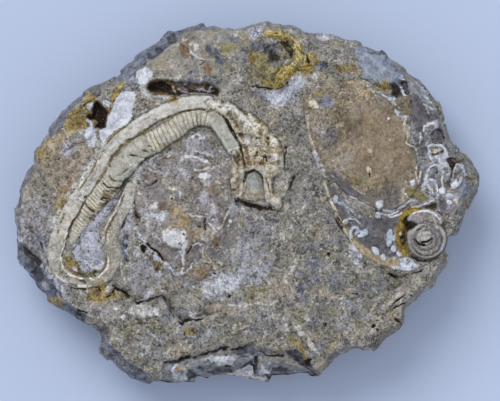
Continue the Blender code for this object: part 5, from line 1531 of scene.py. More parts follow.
# The rock slab
rock = {
    "canvas": (0, 0, 499, 400, 1.0, 1.9, 100),
    "voxel": 0.85,
    # how far the face stands over the dome, and the heights from the dome over which the sides pass into it
    "rise": 0.2, "faceFrom": (-3.4, -2.0),
    # uneven relief of the face: height, size, octaves, seed, and how much of each octave the next one keeps
    "relief": [(0.55, 9.0, 3, 110, 0.5), (0.36, 3.0, 4, 120, 0.7)],
    # faces are made finer above the first height over the floor, down to the second from the dome
    "fineAbove": 7, "fineFrom": -4.5,
    # the broken sides: sizes and depths of their flat chips with seeds, and how far they all stand out
    "chips": [(17.0, 1.5, 140), (7.5, 0.8, 150), (3.4, 0.25, 155)], "swell": 0.45,
    # their finer roughness: depth, size, octaves and seed
    "sideRough": [(0.22, 3.0, 3, 160), (0.1, 1.2, 2, 165)],
    # how slaty the sides are at angles round the slab, from the right by way of the top of the photograph
    "slateAt": [0, 30, 60, 110, 150, 200, 250, 300, 330, 360],
    "slate": [0.3, 0.35, 0.6, 0.75, 0.9, 0.9, 0.75, 0.5, 0.3, 0.3],
    # other colours of the sides: how strong, how uneven, and the size, octaves and seed of the unevenness
    "sides": {"glass": (0.3, 0.6, 12, 3, 172), "chalk": (0.2, 0.6, 13, 3, 175),
              "ochre": (0.1, 0.4, 12, 3, 180), "warm": (0.4, 0.5, 16, 2, 185)},
    "sideCalm": 0.7,
    # how far up the rock leans against the tube, its cast, the middle and right oysters, the coil
    # and the ochre shell
    "banks": [0.85, 0.4, 1.0, 1.0, 0.2, 0.7],
    # how far such a bank reaches in pixels, its highest top, how far it stops short of the fossil's height,
    # and the depth below which a hollow stays open
    "bankReach": 4, "bankTop": 1.6, "bankShort": 0.25, "bankAbove": -0.9,
    # hollows deeper than this within the outline keep their depth where they reach the sides, down to
    # a height over the floor
    "pitBelow": -1.2, "pitDownTo": 14,
    "pitsWithin": path("60,120 120,75 230,45 300,45 420,100 440,240 330,340 120,330 40,260 35,180"),
    # step lines: the low side lies on the left of travel, with the drop and reach in millimetres
    "steps": [
        (path("72.3,287.7 86.4,289 98,284 111.6,282.9 118,292.5 127.6,295.7 133.9,302 146.7,300.4 "
              "159.4,295.7 167.4,302 169,310 181.8,323.6 191.3,320.4 200.9,318.8 220,314.8 "
              "237.6,313.2"), 1.9, 9),
        (path("345.8,304.3 360.6,298 374,300.2 383.6,292 395.8,289.9 410.6,280.2"), 1.4, 7),
        (path("58.8,156.2 75.4,145 88.4,139.5 95.4,129.9"), -1.0, 6),
    ],
}
rockMarks = [
    # the round cavity, black with painted shade inside, with golden, rusty and white crusts round it
    area("62,126 70,112 80,104 88,98 96,95 97,101 92,106 88,116 88,128 78,131 66,134", 3, -0.2, ochre=0.85,
         olive=0.3, calm=0.4),
    area("82,98 90,93 98,91 98,96 92,101 84,104", 1.5, 0.3, ochre=0.9),
    line("83,104.5 90,101 95,98 97,95", 1, 1, -0.4, rust=1, soot=0.6),
    area("96,92 101,91 102,95 97,97", 1.2, -0.5, soot=0.9),
    area("108,104 111,92 116,84 121,80 125,82 122,90 117,97 112,104 109,108", 2, ochre=0.9, olive=0.95,
         calm=0.3),
    area("86,103 93,102 93,108 87,109", 1.5, 0.3, chalk=1, ochre=-0.9),
    area("102,101 109,99 110,106 104,108", 1.5, 0.3, chalk=1.1, ochre=-0.9),
    area("105,108 110,103 112,108 108,114 106,114", 1.2, -0.2, rust=1.2),
    area("86,109 94,108 93,118 87,118", 1.5, -0.4, rust=1.1, ochre=0.6),
    area("92,108 95,102 97,100 101,104 106,110 107,113 105.5,119 105,127.5 95,127.5 97,122 93,119.5 "
         "87.5,118 87,115 92,113", 1.5, -3.4, soot=1.1, rust=0.8),
    line("97,102 103,107 106,113 104,120 104,126", 0.9, 1.2, 0.4, rust=1.3, soot=-0.7),
    line("90,114 94,119 98,123 97,127", 0.9, 1.2, 0.4, rust=1.3, soot=-0.7),
    spot(99, 112, 0.8, 0.8, lift=0.5, pale=1, soot=-0.9),
    spot(102, 119, 0.8, 0.6, lift=0.5, pale=1, soot=-0.9),
    spot(96, 116, 0.6, 0.6, lift=0.4, pale=1, soot=-0.9),
    line("87,120 91,123 92,127", 1.8, 1.2, 0.3, chalk=0.9, ochre=-0.5),
    area("92,119 97,121 95,127 91,124", 1.2, 0.2, ochre=1.1),
    spot(84, 118, 2.4, 4, 20, lift=0.2, ochre=1.1),
    spot(82, 126, 4, 2.6, lift=0.1, ochre=1.1),
    # the long burrow: black painted shade and rust on the left, grey ridges over rust on the right, a slate
    # edge above
    area("174,79.5 196,80 212,81.5 218,86 212,86 196,84 176,83", slate=1, calm=0.7),
    area("146,86 149,81.5 155,79.5 163,79 172,80 176,82 184,82.5 193,83 200,83.5 208,84.5 214,86 219,90 "
         "218,96 208,97 198,95.5 190,98 184,97 176,95 168,95.5 158,95 150,92 146,88", 1.5, -1.8, soot=0.62,
         rust=1.1),
    spot(160, 87, 15, 6.6, 2, soft=0.4, lift=-1.4, soot=1.1),
    spot(158, 85.5, 1, 0.8, lift=0.5, pale=1, soot=-0.9),
    spot(162.5, 88, 1.1, 0.9, lift=0.5, pale=1, soot=-0.9),
    spot(166, 86, 0.9, 0.8, lift=0.5, pale=1, soot=-0.9),
    line("148,83 152,81.5 158,81", 1.4, 1.4, 0.3, rust=1.2, soot=-0.8),
    line("150,91 158,93.5 166,94", 1.4, 1.4, 0.3, rust=1.2, soot=-0.7),
    line("172,86 176,92 180,98", 1, 1, 1, pale=0.9, soot=-0.9),
    line("176,83.5 183,87 188,92", 0.9, 1, 0.9, slate=1.1, soot=-0.9),
    line("184,84.5 190,83.5 196,86 198.5,91", 0.9, 1, 0.9, grey=1.1, soot=-0.9),
    line("179,88 184,92 190,95", 0.8, 0.9, 0.8, grey=1, soot=-0.9),
    line("196,90 202,89 208,92 214,91", 1, 1, 0.8, grey=1.1, soot=-0.8),
    line("205,96 207,92 210,88 214,87", 0.8, 0.9, 0.8, grey=1, soot=-0.8),
    spot(207.5, 93, 1.8, 1, lift=0.5, pale=1, soot=-0.9),
    spot(191, 88, 2.4, 1.6, lift=0.2, slate=1, soot=-0.7),
    area("198,84 205,84 206,87 200,88", 1, 0.3, rust=1.2, soot=-0.7),
    area("198,92 203,92 203,96 197,96", 1, 0.2, rust=1.2, ochre=0.5, soot=-0.8),
    area("200,91 212,92 217,92 217,97 204,96.5", 1.5, -0.4, soot=0.9),
    line("153,78.2 162,77.4 171,78.4", 1.2, 1.2, 0.3, pale=0.8, ochre=0.4),
    area("137,84 147,84 150,92 158,97 150,102 141,98", 2, 0.1, pale=0.8),
    line("158,97 166,98 172,98", 1.6, 1.4, 0.3, pale=0.9),
    area("170,96 176,95 178,100 172,103 167,102", 1.2, 0.2, ochre=1, soot=0.3),
    area("143,92 157,97 163,104 150,109 141,104", 3, 0.2, warm=0.9),
    # the bowl at the top
    spot(266, 62, 29, 26, soft=0.8, lift=-2.2, olive=0.78),
    area("246,50 256,47 262,54 268,52 280,56 278,66 262,66 250,67", 5, -0.1, olive=0.9),
    area("247.6,52 253,50 257,56 256,64 251,68 247.6,64", 2.5, ochre=0.6, rust=0.6),
    area("258,58 266,56 272,60 270,67 260,66", 3, ochre=0.5),
    area("264,50 280,50 282,62 274,67 266,62", 3, -0.3, soot=0.55, slate=0.7),
    area("262,44 274,41 280,47 272,53 262,52", 3, -0.2, slate=0.9, soot=0.3),
    area("246,66 258,68 262,78 254,84 247,76", 4, -0.2, slate=0.55, olive=0.9),
    area("258,76 266,73 276,77 274,87 262,87", 3, -0.2, olive=1.1, ochre=0.6, soot=0.3),
    area("267,77 276,78 274,87 267,85", 2.5, -0.2, soot=0.5),
    area("278,42 288,40 294,46 294,54 290,60 286,52 282,46", 2, -0.6, soot=0.72, olive=1),
    area("250,42 262,40 262,50 252,52", 3, -0.1, slate=0.7),
    area("240,46 249,46 249,56 242,56", 3, -0.1, slate=0.55),
    area("240,36 262,30 276,36 262,44 244,48", 5, slate=0.3),
    line("252,86 262,88.4 272,88.8 281,87.4 288,82", 1, 1.4, -0.5, soot=0.8),
    line("258,51.5 266,46 275,40", 0.8, 0.9, 0.5, pale=0.8, warm=0.8),
    line("250,83 254,88", 2, 1.5, 0.4, warm=0.9),
    area("240,40 249,38 250,46 242,48", 3, ochre=0.45),
    area("104,147 108,137 116,129 127,125 124,131 115,139 108,147", 1.6, -0.1, olive=1.1, ochre=0.3),
    # chalk
    area("119,94 125,91 134,91 134.5,98 133,108 132,118 128,124 121,126 113,131 107,137 102,143 100,138 "
         "100,129 105.5,128 107,118 112,112 113,106 116,99", 1.3, 0.25, chalk=1.3, ochre=-0.9, calm=1),
    area("120,104 124,103 124,112 121,113", grey=1, chalk=-0.5),
    area("125,96 131,97 130,103 126,102", 1.5, -0.1, slate=0.8, chalk=-0.6),
    spot(120, 113, 1.2, 1.2, lift=-0.2, slate=1, chalk=-0.8),
    area("86,126 95,126 97,138 94,148 86,146 84,136", 2, 0.15, chalk=1, calm=0.7),
    area("137,72 146,66 152,72 151,80 142,86 136,82", 1.5, 0.3, chalk=1.2, calm=0.7),
    area("252,88 262,90.5 272,91 283,89.5 290,85 297,79 304,77 307,81 300,89 290,98 285,105 275,105 "
         "267,101 257,95", 2.5, 0.1, grey=1.3, calm=0.5),
    area("262,92 282,92 292,88 288,100 275,104 266,100", 3, 0.1, chalk=0.8, calm=0.5),
    area("286,92 296,84 302,90 298,106 288,108", 4, 0.1, grey=0.62),
    area("290,76 302,74 302,84 292,86", 3, 0.1, chalk=0.55),
    area("308,78 313,72 320,74 316,82", 2, 0.2, pale=0.8, warm=0.6),
    area("247,27 262,25 266,31 256,40 248,37", 3, 0.1, grey=0.85),
    line("189,44 191,52.5 198,57 205,60", 2, 1.5, 0.35, pale=0.9),
    area("193,42 199,43 200,50 194,51", 1.5, 0.1, pale=0.9),
    area("178,39 190,40 192,58 184,60 178,50", 4, rust=0.55),
    line("184,76.5 195,69 206,61", 1.4, 1.2, 0.2, slate=0.9, calm=0.6),
    line("187,79 192,77.5 198,77.5", 1.2, 1.4, 0.1, slate=0.8),
    area("152,60 166,50 178,44 182,56 176,70 160,76 150,70", 4, olive=0.36, warm=0.55, calm=0.4),
    area("146,62 168,38 200,28 248,28 250,44 232,62 220,78 184,79 150,78", 8, calm=0.75),
    area("199,50 206,50 214,60 208,62 200,58", 1.5, 0.1, warm=1),
    line("191,54 197,57.5 203,60", 0.7, 0.9, -0.4, soot=0.6, rust=0.8),
    area("213,54 220,57 224,62 222,66 216,64", 1.5, -0.2, flint=0.8),
    area("240,46 256,43 262,48 256,53 244,52", 3, -0.2, flint=0.5),
    line("205,46 211,51 217,58", 1.6, 1.6, -0.2, flint=0.6),
    area("202,66 210,64 216,72 208,77 202,73", 3, -0.1, rust=0.6),
    area("205,44 215,46 224,56 222,66 214,58 206,52", 3, -0.2, slate=0.8),
    area("228,37 240,36 240,43 230,44", 2, slate=0.75),
    area("218,42 236,41 238,56 222,57", 3, olive=0.7),
    area("228,74 243,72 244,86 232,88", 3, pale=0.6),
    area("215,73 219,73 220,85 216,86", 1.5, -0.5, slate=0.9),
    # the middle of the slab: a lilac white field, a cream seam, and dark slate grains right of it
    area("232,236 250,234 264,244 272,262 268,280 252,288 236,294 229,270", 8, grey=0.62, calm=0.3),
    line("286,206 289,222 291,238 294,250 295,264 289,274 282,284", 3, 4, 0.25, warm=0.72, pale=0.42),
    area("298,260 314,255 334,262 350,275 348,286 330,292 308,288 298,276", 7, -0.1, slate=0.5),
    area("299,282 306,284 303,296 298,292", 2, -0.4, slate=1),
    area("240,284 260,280 268,290 262,302 246,304", 4, -0.2, olive=0.7),
    area("264,286 280,278 285,290 276,304 264,304", 4, 0.2, warm=0.9, pale=0.42),
    line("230,304 242,306.5 254,303 268,306 280,300", 1, 2, 0.3, pale=0.8),
    line("300,287 308,292 318,296 330,297 340,300", 1.4, 2, 0.3, warm=0.9),
    area("322,306 345,308 352,330 338,346 318,336", 6, olive=0.36),
    area("296,300 304,292 312,298 306,306", 2, -0.3, slate=0.7, soot=0.3),
    # speckled white in the middle and below
    area("200,280 222,272 240,276 240,292 224,300 202,299", 5, 0.1, chalk=0.6),
    area("127,307 145,303 161,308 158,316 140,318 128,315", 3, 0.1, pale=0.8),
    spot(114.5, 307, 3.4, 2.4, 40, lift=0.2, chalk=0.95),
    spot(123, 318, 4, 2, 20, lift=0.1, chalk=0.9),
    line("145.6,329 153,337 163,344", 1.2, 1.6, 0.3, chalk=0.9),
    area("189,312 198,311 198,319 190,320", 2, 0.1, chalk=0.7),
    spot(192, 319, 5, 2, ochre=0.7),
    area("209,303 240,303 238,316 212,317", 4, warm=0.8),
    area("36,140 60,126 92,132 98,150 90,172 76,194 58,224 44,256 26,256 16,230 20,190 32,164", 10,
         calm=0.3),
    area("20,198 40,190 52,210 48,250 34,262 18,240", 7, warm=0.4, grey=0.42, slate=0.46),
    area("38,146 52,130 66,124 74,134 60,150 46,170 36,168", 6, ochre=0.42, warm=0.8),
    area("55,140 80,136 98,148 96,168 80,190 62,202 52,180 50,158", 8, warm=0.8),
    area("30,170 50,160 60,200 50,240 30,250 20,220", 8, warm=0.45),
    # ochre spots and lines
    area("84,282 98,282 112,287 116,296 106,302 92,303 84,298 90,291", 2.5, -0.2, ochre=0.85, rust=0.5),
    line("90,284 98,288 102,295", 1.2, 1.2, -0.4, soot=0.8, rust=0.8),
    line("106,297 112,292 114,287", 1.2, 1.2, -0.4, soot=0.8),
    spot(107.5, 289, 3, 4.4, 20, lift=0.4, pale=1, ochre=-0.8),
    line("96,283 102,286 104,290", 1.4, 1.2, 0.3, pale=0.8, warm=0.6),
    area("110,287 122,290 130,296 122,300 112,297", 2, -0.3, ochre=0.75, olive=0.5),
    area("182,330 186,327 190,329 195,327 197,331 193,336 187,334 183,336", 2.5, -0.2, ochre=0.8,
         olive=0.5),
    spot(191, 329.5, 1.6, 0.9, 20, lift=-0.3, soot=0.8),
    spot(184, 333, 1.3, 2, lift=-0.4, soot=1),
    line("288.6,339 296.6,344 302.4,353.5 307,365", 1.2, 0.9, 0.1, ochre=1),
    spot(274.8, 327, 1.8, 1.6, ochre=1),
    area("150,318 160,318 168,330 160,338 150,330", 4, olive=0.5),
    line("106,140 97,152 91,166 83,179 71,193 62,208 54,222 49,238 46,252", 3.5, 5, 0.15, pale=0.62),
    # the rock stands higher beside the tube, inside its turn and below the return arm
    line("104,152 97,163 88,176 78,190 66,206 56,222 47,238", 9, 9, 0.9),
    area("122,190 134,180 137,205 140,225 147,242 152,258 148,272 136,292 124,287 112,284 104,272 108,240",
         5, 0.75),
    area("62,256 70,236 84,222 98,208 120,190 126,196 112,226 108,250 108,268 94,279 72,276", 3, 0.7),
    line("50,262 60,276 76,286 96,287", 3, 4, 0.5),
    # inside the hairpin: pale fill, ochre spots and the double rim
    area("91,224 100,233 98,243 105,257 105,263 101,269 93,268 86,262 73,257 76,245 81,235 86,226", 3,
         0.25, grey=0.85, calm=0.7),
    line("82,238 80,246 84,254", 0.8, 1.6, -0.15, slate=0.7),
    spot(95, 262, 2.4, 1.8, 20, lift=-0.1, slate=0.5),
    line("79,259 88,263.5 93,267 101,267 104,262", 2.4, 2, 0.1, chalk=0.9),
    area("78,240 90,232 96,240 88,252 78,252", 4, chalk=0.45),
    spot(86, 238, 2.2, 2, lift=-0.3, rust=0.8, slate=0.5),
    line("80,252 84,244 90,236 96,230", 0.8, 2, -0.15, slate=0.5),
    line("75,248 80,240 86,234 92,230", 0.8, 1.4, -0.2, slate=0.9),
    area("91,226 97,214 108,198 118,189 122,192 112,208 102,222 99,232", 3, grey=1.1),
    area("64,257 72,257 78,262 78,270 70,270 66,266", 2.5, -0.3, ochre=1),
    area("68,269 80,268 82,275 72,275", 1.5, -0.3, rust=1),
    line("72,267.5 76,270.5", 1.6, 1.2, 0.3, chalk=0.9),
    area("78,262 90,265 90,271 80,271", 2, 0.1, grey=0.9),
    area("84,270 98,270 100,275 90,277 82,275", 2, -0.3, olive=0.95),
    line("84,282 90,280 96,281", 1, 1, -0.3, rust=1, soot=0.6),
    spot(84, 250, 2.6, 2.2, ochre=0.95),
    spot(89, 252, 1.4, 1.4, lift=-0.3, soot=1),
    spot(95, 233, 2.6, 2.2, lift=-0.2, olive=0.9, soot=0.4),
    # the slate notch right of the return arm, and a pale line below it
    area("120,226 128,210 132,222 130,236 126,260 121,258 122,244", 4, -0.3, grey=0.75),
    line("127.5,211 125,217 122.5,224 120,231", 1.6, 2, -0.8, slate=0.9, soot=0.5),
    line("127,235 124,243 124,254 126,260", 2.4, 2.4, -0.6, slate=0.75),
    line("136,226 140,234 147,243 155,252", 1, 1.6, -0.5, soot=0.55),
    area("126,262 140,244 150,256 158,276 152,292 138,298 126,286 122,272", 6, grey=0.42),
    line("160,272 160,282 154,292 144,298", 2.4, 2.4, 0.3, chalk=0.62),
    spot(143, 248, 3, 6.5, -15, soft=0.5, lift=-1, soot=1),
    line("121.5,250 120,262 121,272 124,280", 0.9, 1, 0.3, pale=0.9),
    # the beige strip between the tube and the middle oyster
    area("132,176 140,180 134,205 134,225 126,222 126,200 128,188", 3, 0.3, pale=0.7),
    # dark slits and holes, painted shade in them
    line("72,287.5 79,288.6 88.5,289", 1, 1, -1.2, soot=1),
    line("113,285 118,290 124,292 129,296.4", 1.6, 1.2, -1.2, soot=1),
    line("130.3,299.5 137.4,303.6 147,300 157.9,296.4 162,295.4 168,301.5", 1.1, 1, -1.2, soot=1),
    line("168,309 172.6,314.4 180.7,323.6 186.4,320 192,319.5 202.5,320", 1, 1, -0.9, soot=0.85),
    spot(230, 295.3, 1.9, 2.3, lift=-1.4, soot=1),
    spot(326, 325, 1.3, 2.3, 10, lift=-1.2, soot=1),
    spot(373.6, 326, 2.2, 3, -30, lift=-1, soot=1),
    spot(377.4, 321.3, 1.4, 1.8, -30, lift=-0.8, soot=1),
    spot(378, 330.3, 1.6, 1.4, lift=-0.8, soot=1),
    spot(385.5, 311.8, 1.3, 1.3, lift=-0.8, soot=1),
    spot(329, 254, 2.2, 2, lift=-0.8, soot=0.9),
    spot(182, 245, 1.2, 1.2, lift=-0.5, soot=0.9),
    line("338.5,321.3 341.5,318.3 344.5,321.3 341.5,324.3 338.5,321.3", 0.8, 0.8, 0.25, pale=0.8),
    spot(341.5, 321.3, 1.5, 1.5, lift=-0.3, soot=0.6),
    line("396.5,320 401,324 405,325", 1.8, 1, -0.8, soot=1),
    line("307.5,362 311.5,359", 1, 1, -0.8, soot=1),
    spot(205, 303, 4, 2, lift=-0.3, soot=0.5),
    # the dark pocket above the right oyster, with white ridges
    area("391,83 399,79 408,83 409,97 402,102 392,97", 1.5, -0.6, flint=1.2, soot=0.3),
    area("392,86 397,85 399,92 397,97 392,94", 1.2, -0.6, soot=0.9),
    area("400,81 404,82 404,87 400,86", 1.2, -0.4, soot=0.8),
    area("403,91 406,92 406,98 403,98", 1.2, -0.4, soot=0.75),
    line("398,84 402,90 405,96 406,102", 1, 0.9, 0.6, chalk=1.1, soot=-0.9),
    line("391,96 395,99 400,100", 1, 0.9, 0.4, chalk=0.9, soot=-0.9),
    line("396,81 400,79 406,81", 0.9, 0.9, 0.4, pale=1, soot=-0.9),
    area("354,43 364,42 372,48 384,55 398,64 407,72 404,79 392,82 378,81 366,80 360,66", 3, 0.1, chert=0.9,
         calm=0.8),
    area("391,64 400,66 406,71 400,74 392,70", 1.5, -0.3, slate=1.1, soot=0.3, chert=-0.8),
    line("370,48 380,52 392,60 400,65", 1.2, 1.2, -0.3, slate=1, chert=-0.7),
    spot(403.5, 74.5, 2, 1.4, lift=0.2, chalk=1.1),
    line("372,57 382,62 392,67 401,72", 0.8, 1, -0.3, flint=1.1),
    line("360,78 368,79.5 378,79 388,82", 0.8, 1, -0.3, flint=1, olive=0.5),
    line("363,79 368,85 374,90.5 378,94", 1, 1, 0.3, pale=1, warm=0.6),
    area("374,82 384,80 392,84 390,90 378,90", 1.5, -0.2, olive=1.1, ochre=0.6),
    # the shadow under the end of the right oyster, and bent pale ridges on the lower right
    line("389,273.5 394.6,276.8 402,276.4 412,274 421.5,271.6", 1, 1.2, -0.7, soot=0.8),
    line("386,306 392,301 399.4,296 404,291 412,294", 1, 1.2, 0.5, pale=0.62, warm=0.9),
    line("388,308.5 393,303.5 400,299 405,294 413,297", 1, 1, -0.6, soot=0.9),
    line("404,294 393,300 386,306 381,313 378,320 375,330", 5, 3, 0.5, warm=0.95, pale=0.45),
    line("389,312.7 396.5,307 406,303", 0.9, 1, -0.6, soot=0.8),
    area("390,312 406,304 405,318 400,322 388,322", 3, -0.3, olive=0.4),
    line("326,305 330,300 337,303", 1, 0.9, 0.4, chalk=0.8),
    line("334,300 341,298.5 348,297", 1, 1, 0.4, pale=0.8),
    line("349,293 356,292.5 363,294", 0.8, 1, -0.4, soot=0.6),
    area("348,244 356,243 363,254 364,271 357,272 350,258", 4, 0.1, chalk=0.6),
    # the right side of the mouth and the strip of matrix beside the oysters
    line("297.8,328 304,336 311,345 318.4,354.6", 3, 3, 0.7, pale=0.6, warm=0.8),
    area("318,358 330,360 330,370 322,374 316,368", 3, 0.3, warm=0.9),
    # the field left of the tube: warm brown with darker, rusty and golden patches
    area("36,160 60,132 84,140 88,160 70,190 52,214 40,240 22,240 20,200", 8, warm=0.7, olive=0.36,
         rust=0.3, calm=0.2),
    area("18,214 40,216 52,236 50,262 40,262 28,248 18,240", 6, -0.1, slate=0.42, grey=0.5),
    area("24,196 40,180 56,190 50,214 36,232 20,236 16,214", 6, -0.1, rust=0.32, grey=0.36),
    area("56,176 68,170 76,180 66,196 56,196", 4, -0.1, rust=0.55),
    area("60,196 70,194 66,208 58,212 52,206", 3, -0.1, ochre=0.62),
    area("34,148 44,142 48,152 40,164 33,160", 3, ochre=0.6, rust=0.5),
    area("62,140 76,138 80,150 66,158 58,152", 4, grey=0.6),
    area("40,218 54,214 52,236 44,254 36,246", 4, grey=0.42),
    line("25,236 31,239 33,247 30,252", 1, 1.6, -0.2, slate=0.8),
    line("38,232 44,238 46,246", 1, 1.8, -0.15, slate=0.7),
    line("33,232 38,238 42,246 43,252", 1.2, 1.4, -0.4, soot=0.6, slate=0.8),
    line("56,160 62,156 70,156", 0.8, 1.2, -0.3, soot=0.5),
    # the foot: smooth grey chert with chalky white edges, and painted shade in its black crevices
    area("169,362 188,357 207,352 223,348 240,347 252,344 272,352 288,352 306,359 318,372 318,382 160,384 "
         "162,368", 2, -1.2, slate=0.55, calm=0.6),
    area("186,365 196,360 210,362 204,370 194,373", 1.5, 0.1, glass=1, calm=1),
    area("205,368 216,363 224,364 233,368 222,372", 1.2, -0.3, glass=1, calm=1),
    area("228,356 240,349 250,345 260,350 256,358 246,362 234,362", 1.5, -0.2, glass=1, calm=1),
    area("261,357 276,361 288,366 296,372 282,372 268,366", 1.5, 0.1, glass=1, calm=1),
    area("293,368 306,372 312,378 298,379 291,376", glass=1, calm=1),
    area("204,360 214,356 222,355 232,356 238,360 232,361 236,366 226,362 219,363 212,361", 1.2, 0.5,
         chalk=1.1, slate=-0.9, glass=-0.9),
    area("241,367 248,364 254,362 255,369 250,372 242,371", 1.2, 0.4, chalk=1, slate=-0.9),
    area("259,367 262,361 267,364 266,369 260,371", 1, 0.3, chalk=0.9, slate=-0.9),
    area("171,368 176,363 184,366 190,374 186,378 174,379", 2, 0.3, chalk=0.85, slate=-0.8),
    area("226,372 238,368 252,372 250,376 232,376", 1.5, 0.3, pale=0.9, slate=-0.8),
    line("266,368 274,366 282,369", 1.4, 1.2, 0.3, chalk=0.9),
    line("160,364 169,361.5 178,360 189,357", 1, 1.3, -0.8, soot=0.8, slate=1),
    line("194,357.5 205,355 213,352 219,349 226,346.5 229,347", 1, 1.3, -0.8, soot=0.8, slate=1),
    area("230,353 240,348 250,346 258,350 262,355 252,356 240,355", 1.2, -0.3, slate=1.3, flint=0.6,
         glass=-0.9, chalk=-1),
    area("206,369 214,364 224,364 234,368 224,371 212,371", 1, -0.3, flint=0.95, glass=-0.9, chalk=-1),
    area("272,367 280,366 289,371 296,374 282,374", 1, -0.3, flint=0.9, glass=-0.9, chalk=-1),
    area("240,367 245,362 252,360 253,363 247,365", 0.8, -0.3, flint=1.3, glass=-0.9, chalk=-1),
    area("253,357 258,356 258,365 255,366", 0.8, -0.6, flint=1.4, glass=-0.9, chalk=-1, pale=-0.9),
    area("285,351 296,349 303,356 311,367 302,367 292,359", 1.5, -0.4, flint=0.9, glass=-0.9),
    area("296,376 310,377 323,376 322,382 294,382", 1, -0.4, flint=1.5, glass=-0.9, pale=-0.9),
    area("186,372 195,371 197,376 187,378", 1, -0.4, flint=1.1, glass=-0.9, chalk=-1),
    area("168,361 178,359 190,356 190,359 178,362 170,364", 1, -0.5, flint=1.1, glass=-0.9),
    line("186,371 196,369 206,366 213,362", 0.8, 1, -0.3, flint=1.2, glass=-0.9),
    line("264,369 270,371 274,375", 0.8, 0.9, -0.4, flint=1.3, glass=-0.9),
    line("234,362 240,357 248,357", 0.8, 1, -0.3, flint=1.1, glass=-0.9),
    line("188,366 196,362 206,361", 1.6, 1.2, 0.3, pale=1.1, slate=-0.8),
    line("238,372 246,370 256,374 266,374", 1.6, 1.2, 0.3, pale=1.1, slate=-0.8),
    line("266,360 276,363 288,368 296,373", 1, 1, 0.3, pale=1, slate=-0.8),
    area("288,371 300,374 308,378 294,378", 1.2, 0.1, pale=0.8, warm=0.8, slate=-0.8),
    area("176,366 184,366 184,372 176,372", 1.5, 0.1, warm=1.1, ochre=0.6, chalk=-0.9, slate=-0.8),
    spot(224.5, 350.5, 3.6, 1.7, lift=-1, soot=1),
    line("231,351 238,349 245,346 252,344.5 256,342", 0.8, 1.1, -0.5, soot=0.8),
    line("255,349 262,352 268,356 276,357 284,356", 0.8, 1.1, -0.6, soot=0.85),
    spot(255.5, 360, 2.4, 3.6, lift=-0.8, soot=1),
    line("243,366 249,361.5 254,365 256,369", 1.1, 1.1, -0.6, soot=0.95),
    line("222,363 228,363 234,366", 0.9, 1, -0.5, soot=0.85),
    line("206,369 214,366 222,368", 0.7, 1, -0.4, soot=0.7),
    spot(191, 375.5, 3, 1.6, lift=-0.5, soot=0.9),
    line("198,377 206,375 216,374", 0.9, 1.1, -0.4, soot=0.8),
    line("262,369 270,371 276,374", 0.8, 1, -0.4, soot=0.75),
    area("286,352 298,350 306,360 314,370 306,368 296,362 288,360", 1.5, -0.4, slate=1, soot=0.3),
    line("297,361 304,367 312,374 320,378", 1.4, 1.4, -0.5, soot=0.8),
    line("291,378 302,380 318,379", 1.4, 1.2, -0.6, soot=0.95),
    area("102,338 114,348 130,362 150,374 158,380 130,384 108,364 98,346", 2, slate=0.8, calm=0.4),
    # a golden vein running down to the foot
    line("288.5,338.5 293,341 297,343.5 301,349 304,355 307,361", 2, 1, 0.2, ochre=1.4, slate=-0.9),
    area("304,361 310,358 312,362 307,366", 1, -0.5, soot=0.9),
    line("266,372 280,376 291,378", 1.4, 1.2, -0.5, soot=0.9),
    # dark slate facets along the left rim, a pale ridge over them, and the smooth band at the top left
    area("12,244 18,243 24,244 30,250 36,256 40,260 46,268 52,275 59,283 66,297 60,298 48,300 34,284 "
         "16,264", 1.2, -0.9, slate=1, calm=0.8, warm=-0.8),
    area("24,252 34,258 42,267 50,278 46,282 38,275 30,266", 1.5, -0.4, slate=1, flint=0.7),
    line("15,247 22,248 28,254 34,259 39,264 43,269", 3.2, 1.6, -0.8, flint=1.5),
    line("24,248 30,253 36,258", 0.8, 1.2, -0.4, soot=0.9),
    area("33,268 40,266 46,275 48,281 43,281 37,276", 1.2, -0.3, flint=1.3),
    area("20,256 28,258 34,264 30,268 22,263", 1.2, 0.1, slate=1.2, pale=0.3),
    spot(30, 266.5, 3.2, 1.6, 40, lift=0.3, pale=0.9, slate=-0.8),
    area("51,284 58,288 62,296 56,296 50,290", 1.2, -0.2, slate=1.3, flint=0.4),
    line("54,286 58,291 61,296", 0.7, 1, -0.4, flint=1.3),
    area("71,313 80,312 88,316 84,319 74,319", 1.2, -0.4, flint=1.4),
    area("63,306 69,308 73,314 67,314 62,310", 1, 0.1, slate=1.2, pale=0.3),
    spot(36, 268, 1.8, 1.6, lift=-0.3, soot=0.9),
    spot(45, 279, 2.4, 2, 40, lift=-0.3, soot=0.9),
    spot(36, 271, 1.8, 1.6, lift=0.3, grey=1.2),
    spot(49, 284, 3.6, 5.6, -30, soft=0.4, lift=0.7, grey=0.8, slate=-1, soot=-1, calm=0.8),
    line("41,265.5 46,269 52,276 57,283 60,288 64,297", 2.6, 1.6, 0.5, chalk=0.9, slate=-0.6),
    line("46,272 52,279 57,286 60,294", 0.7, 1.2, -0.4, soot=0.55),
    line("52,285 56,291 59,297", 0.7, 1.2, 0.3, pale=0.6),
    area("32,273 40,274 41,280 35,279", 1.5, 0.3, warm=0.9, slate=-0.8),
    area("49,297 58,296 66,299 62,308 52,304", 1.5, 0.3, ochre=0.72, warm=0.6, slate=-0.9),
    area("15,236 23,236 23,243 16,243", 1.5, 0.2, pale=0.8),
    area("62,304 70,304 78,312 80,318 70,318 60,309", 1.5, -0.3, slate=1, calm=0.6),
    line("76,311 82,311 87,314", 1, 1.2, -0.4, soot=0.8, olive=0.8),
    area("112,82 124,72 136,61 146,53 158,46 168,36 178,32 176,40 164,52 150,60 138,72 126,82 116,88", 2,
         -0.5, slate=0.95, calm=0.9),
    area("124,84 128,74 136,72 137,82 130,88", 2, slate=0.6, grey=0.5, calm=0.6),
    area("166,36 175,33 176,42 169,44", 1.5, -0.6, flint=1.4),
    line("150,58 156,54 161,50", 2.4, 1.4, -0.5, flint=1.4),
    area("55,128 62,114 70,108 74,112 66,122 58,134", 2, -0.2, slate=0.85),
    # blue-grey chert on the upper right
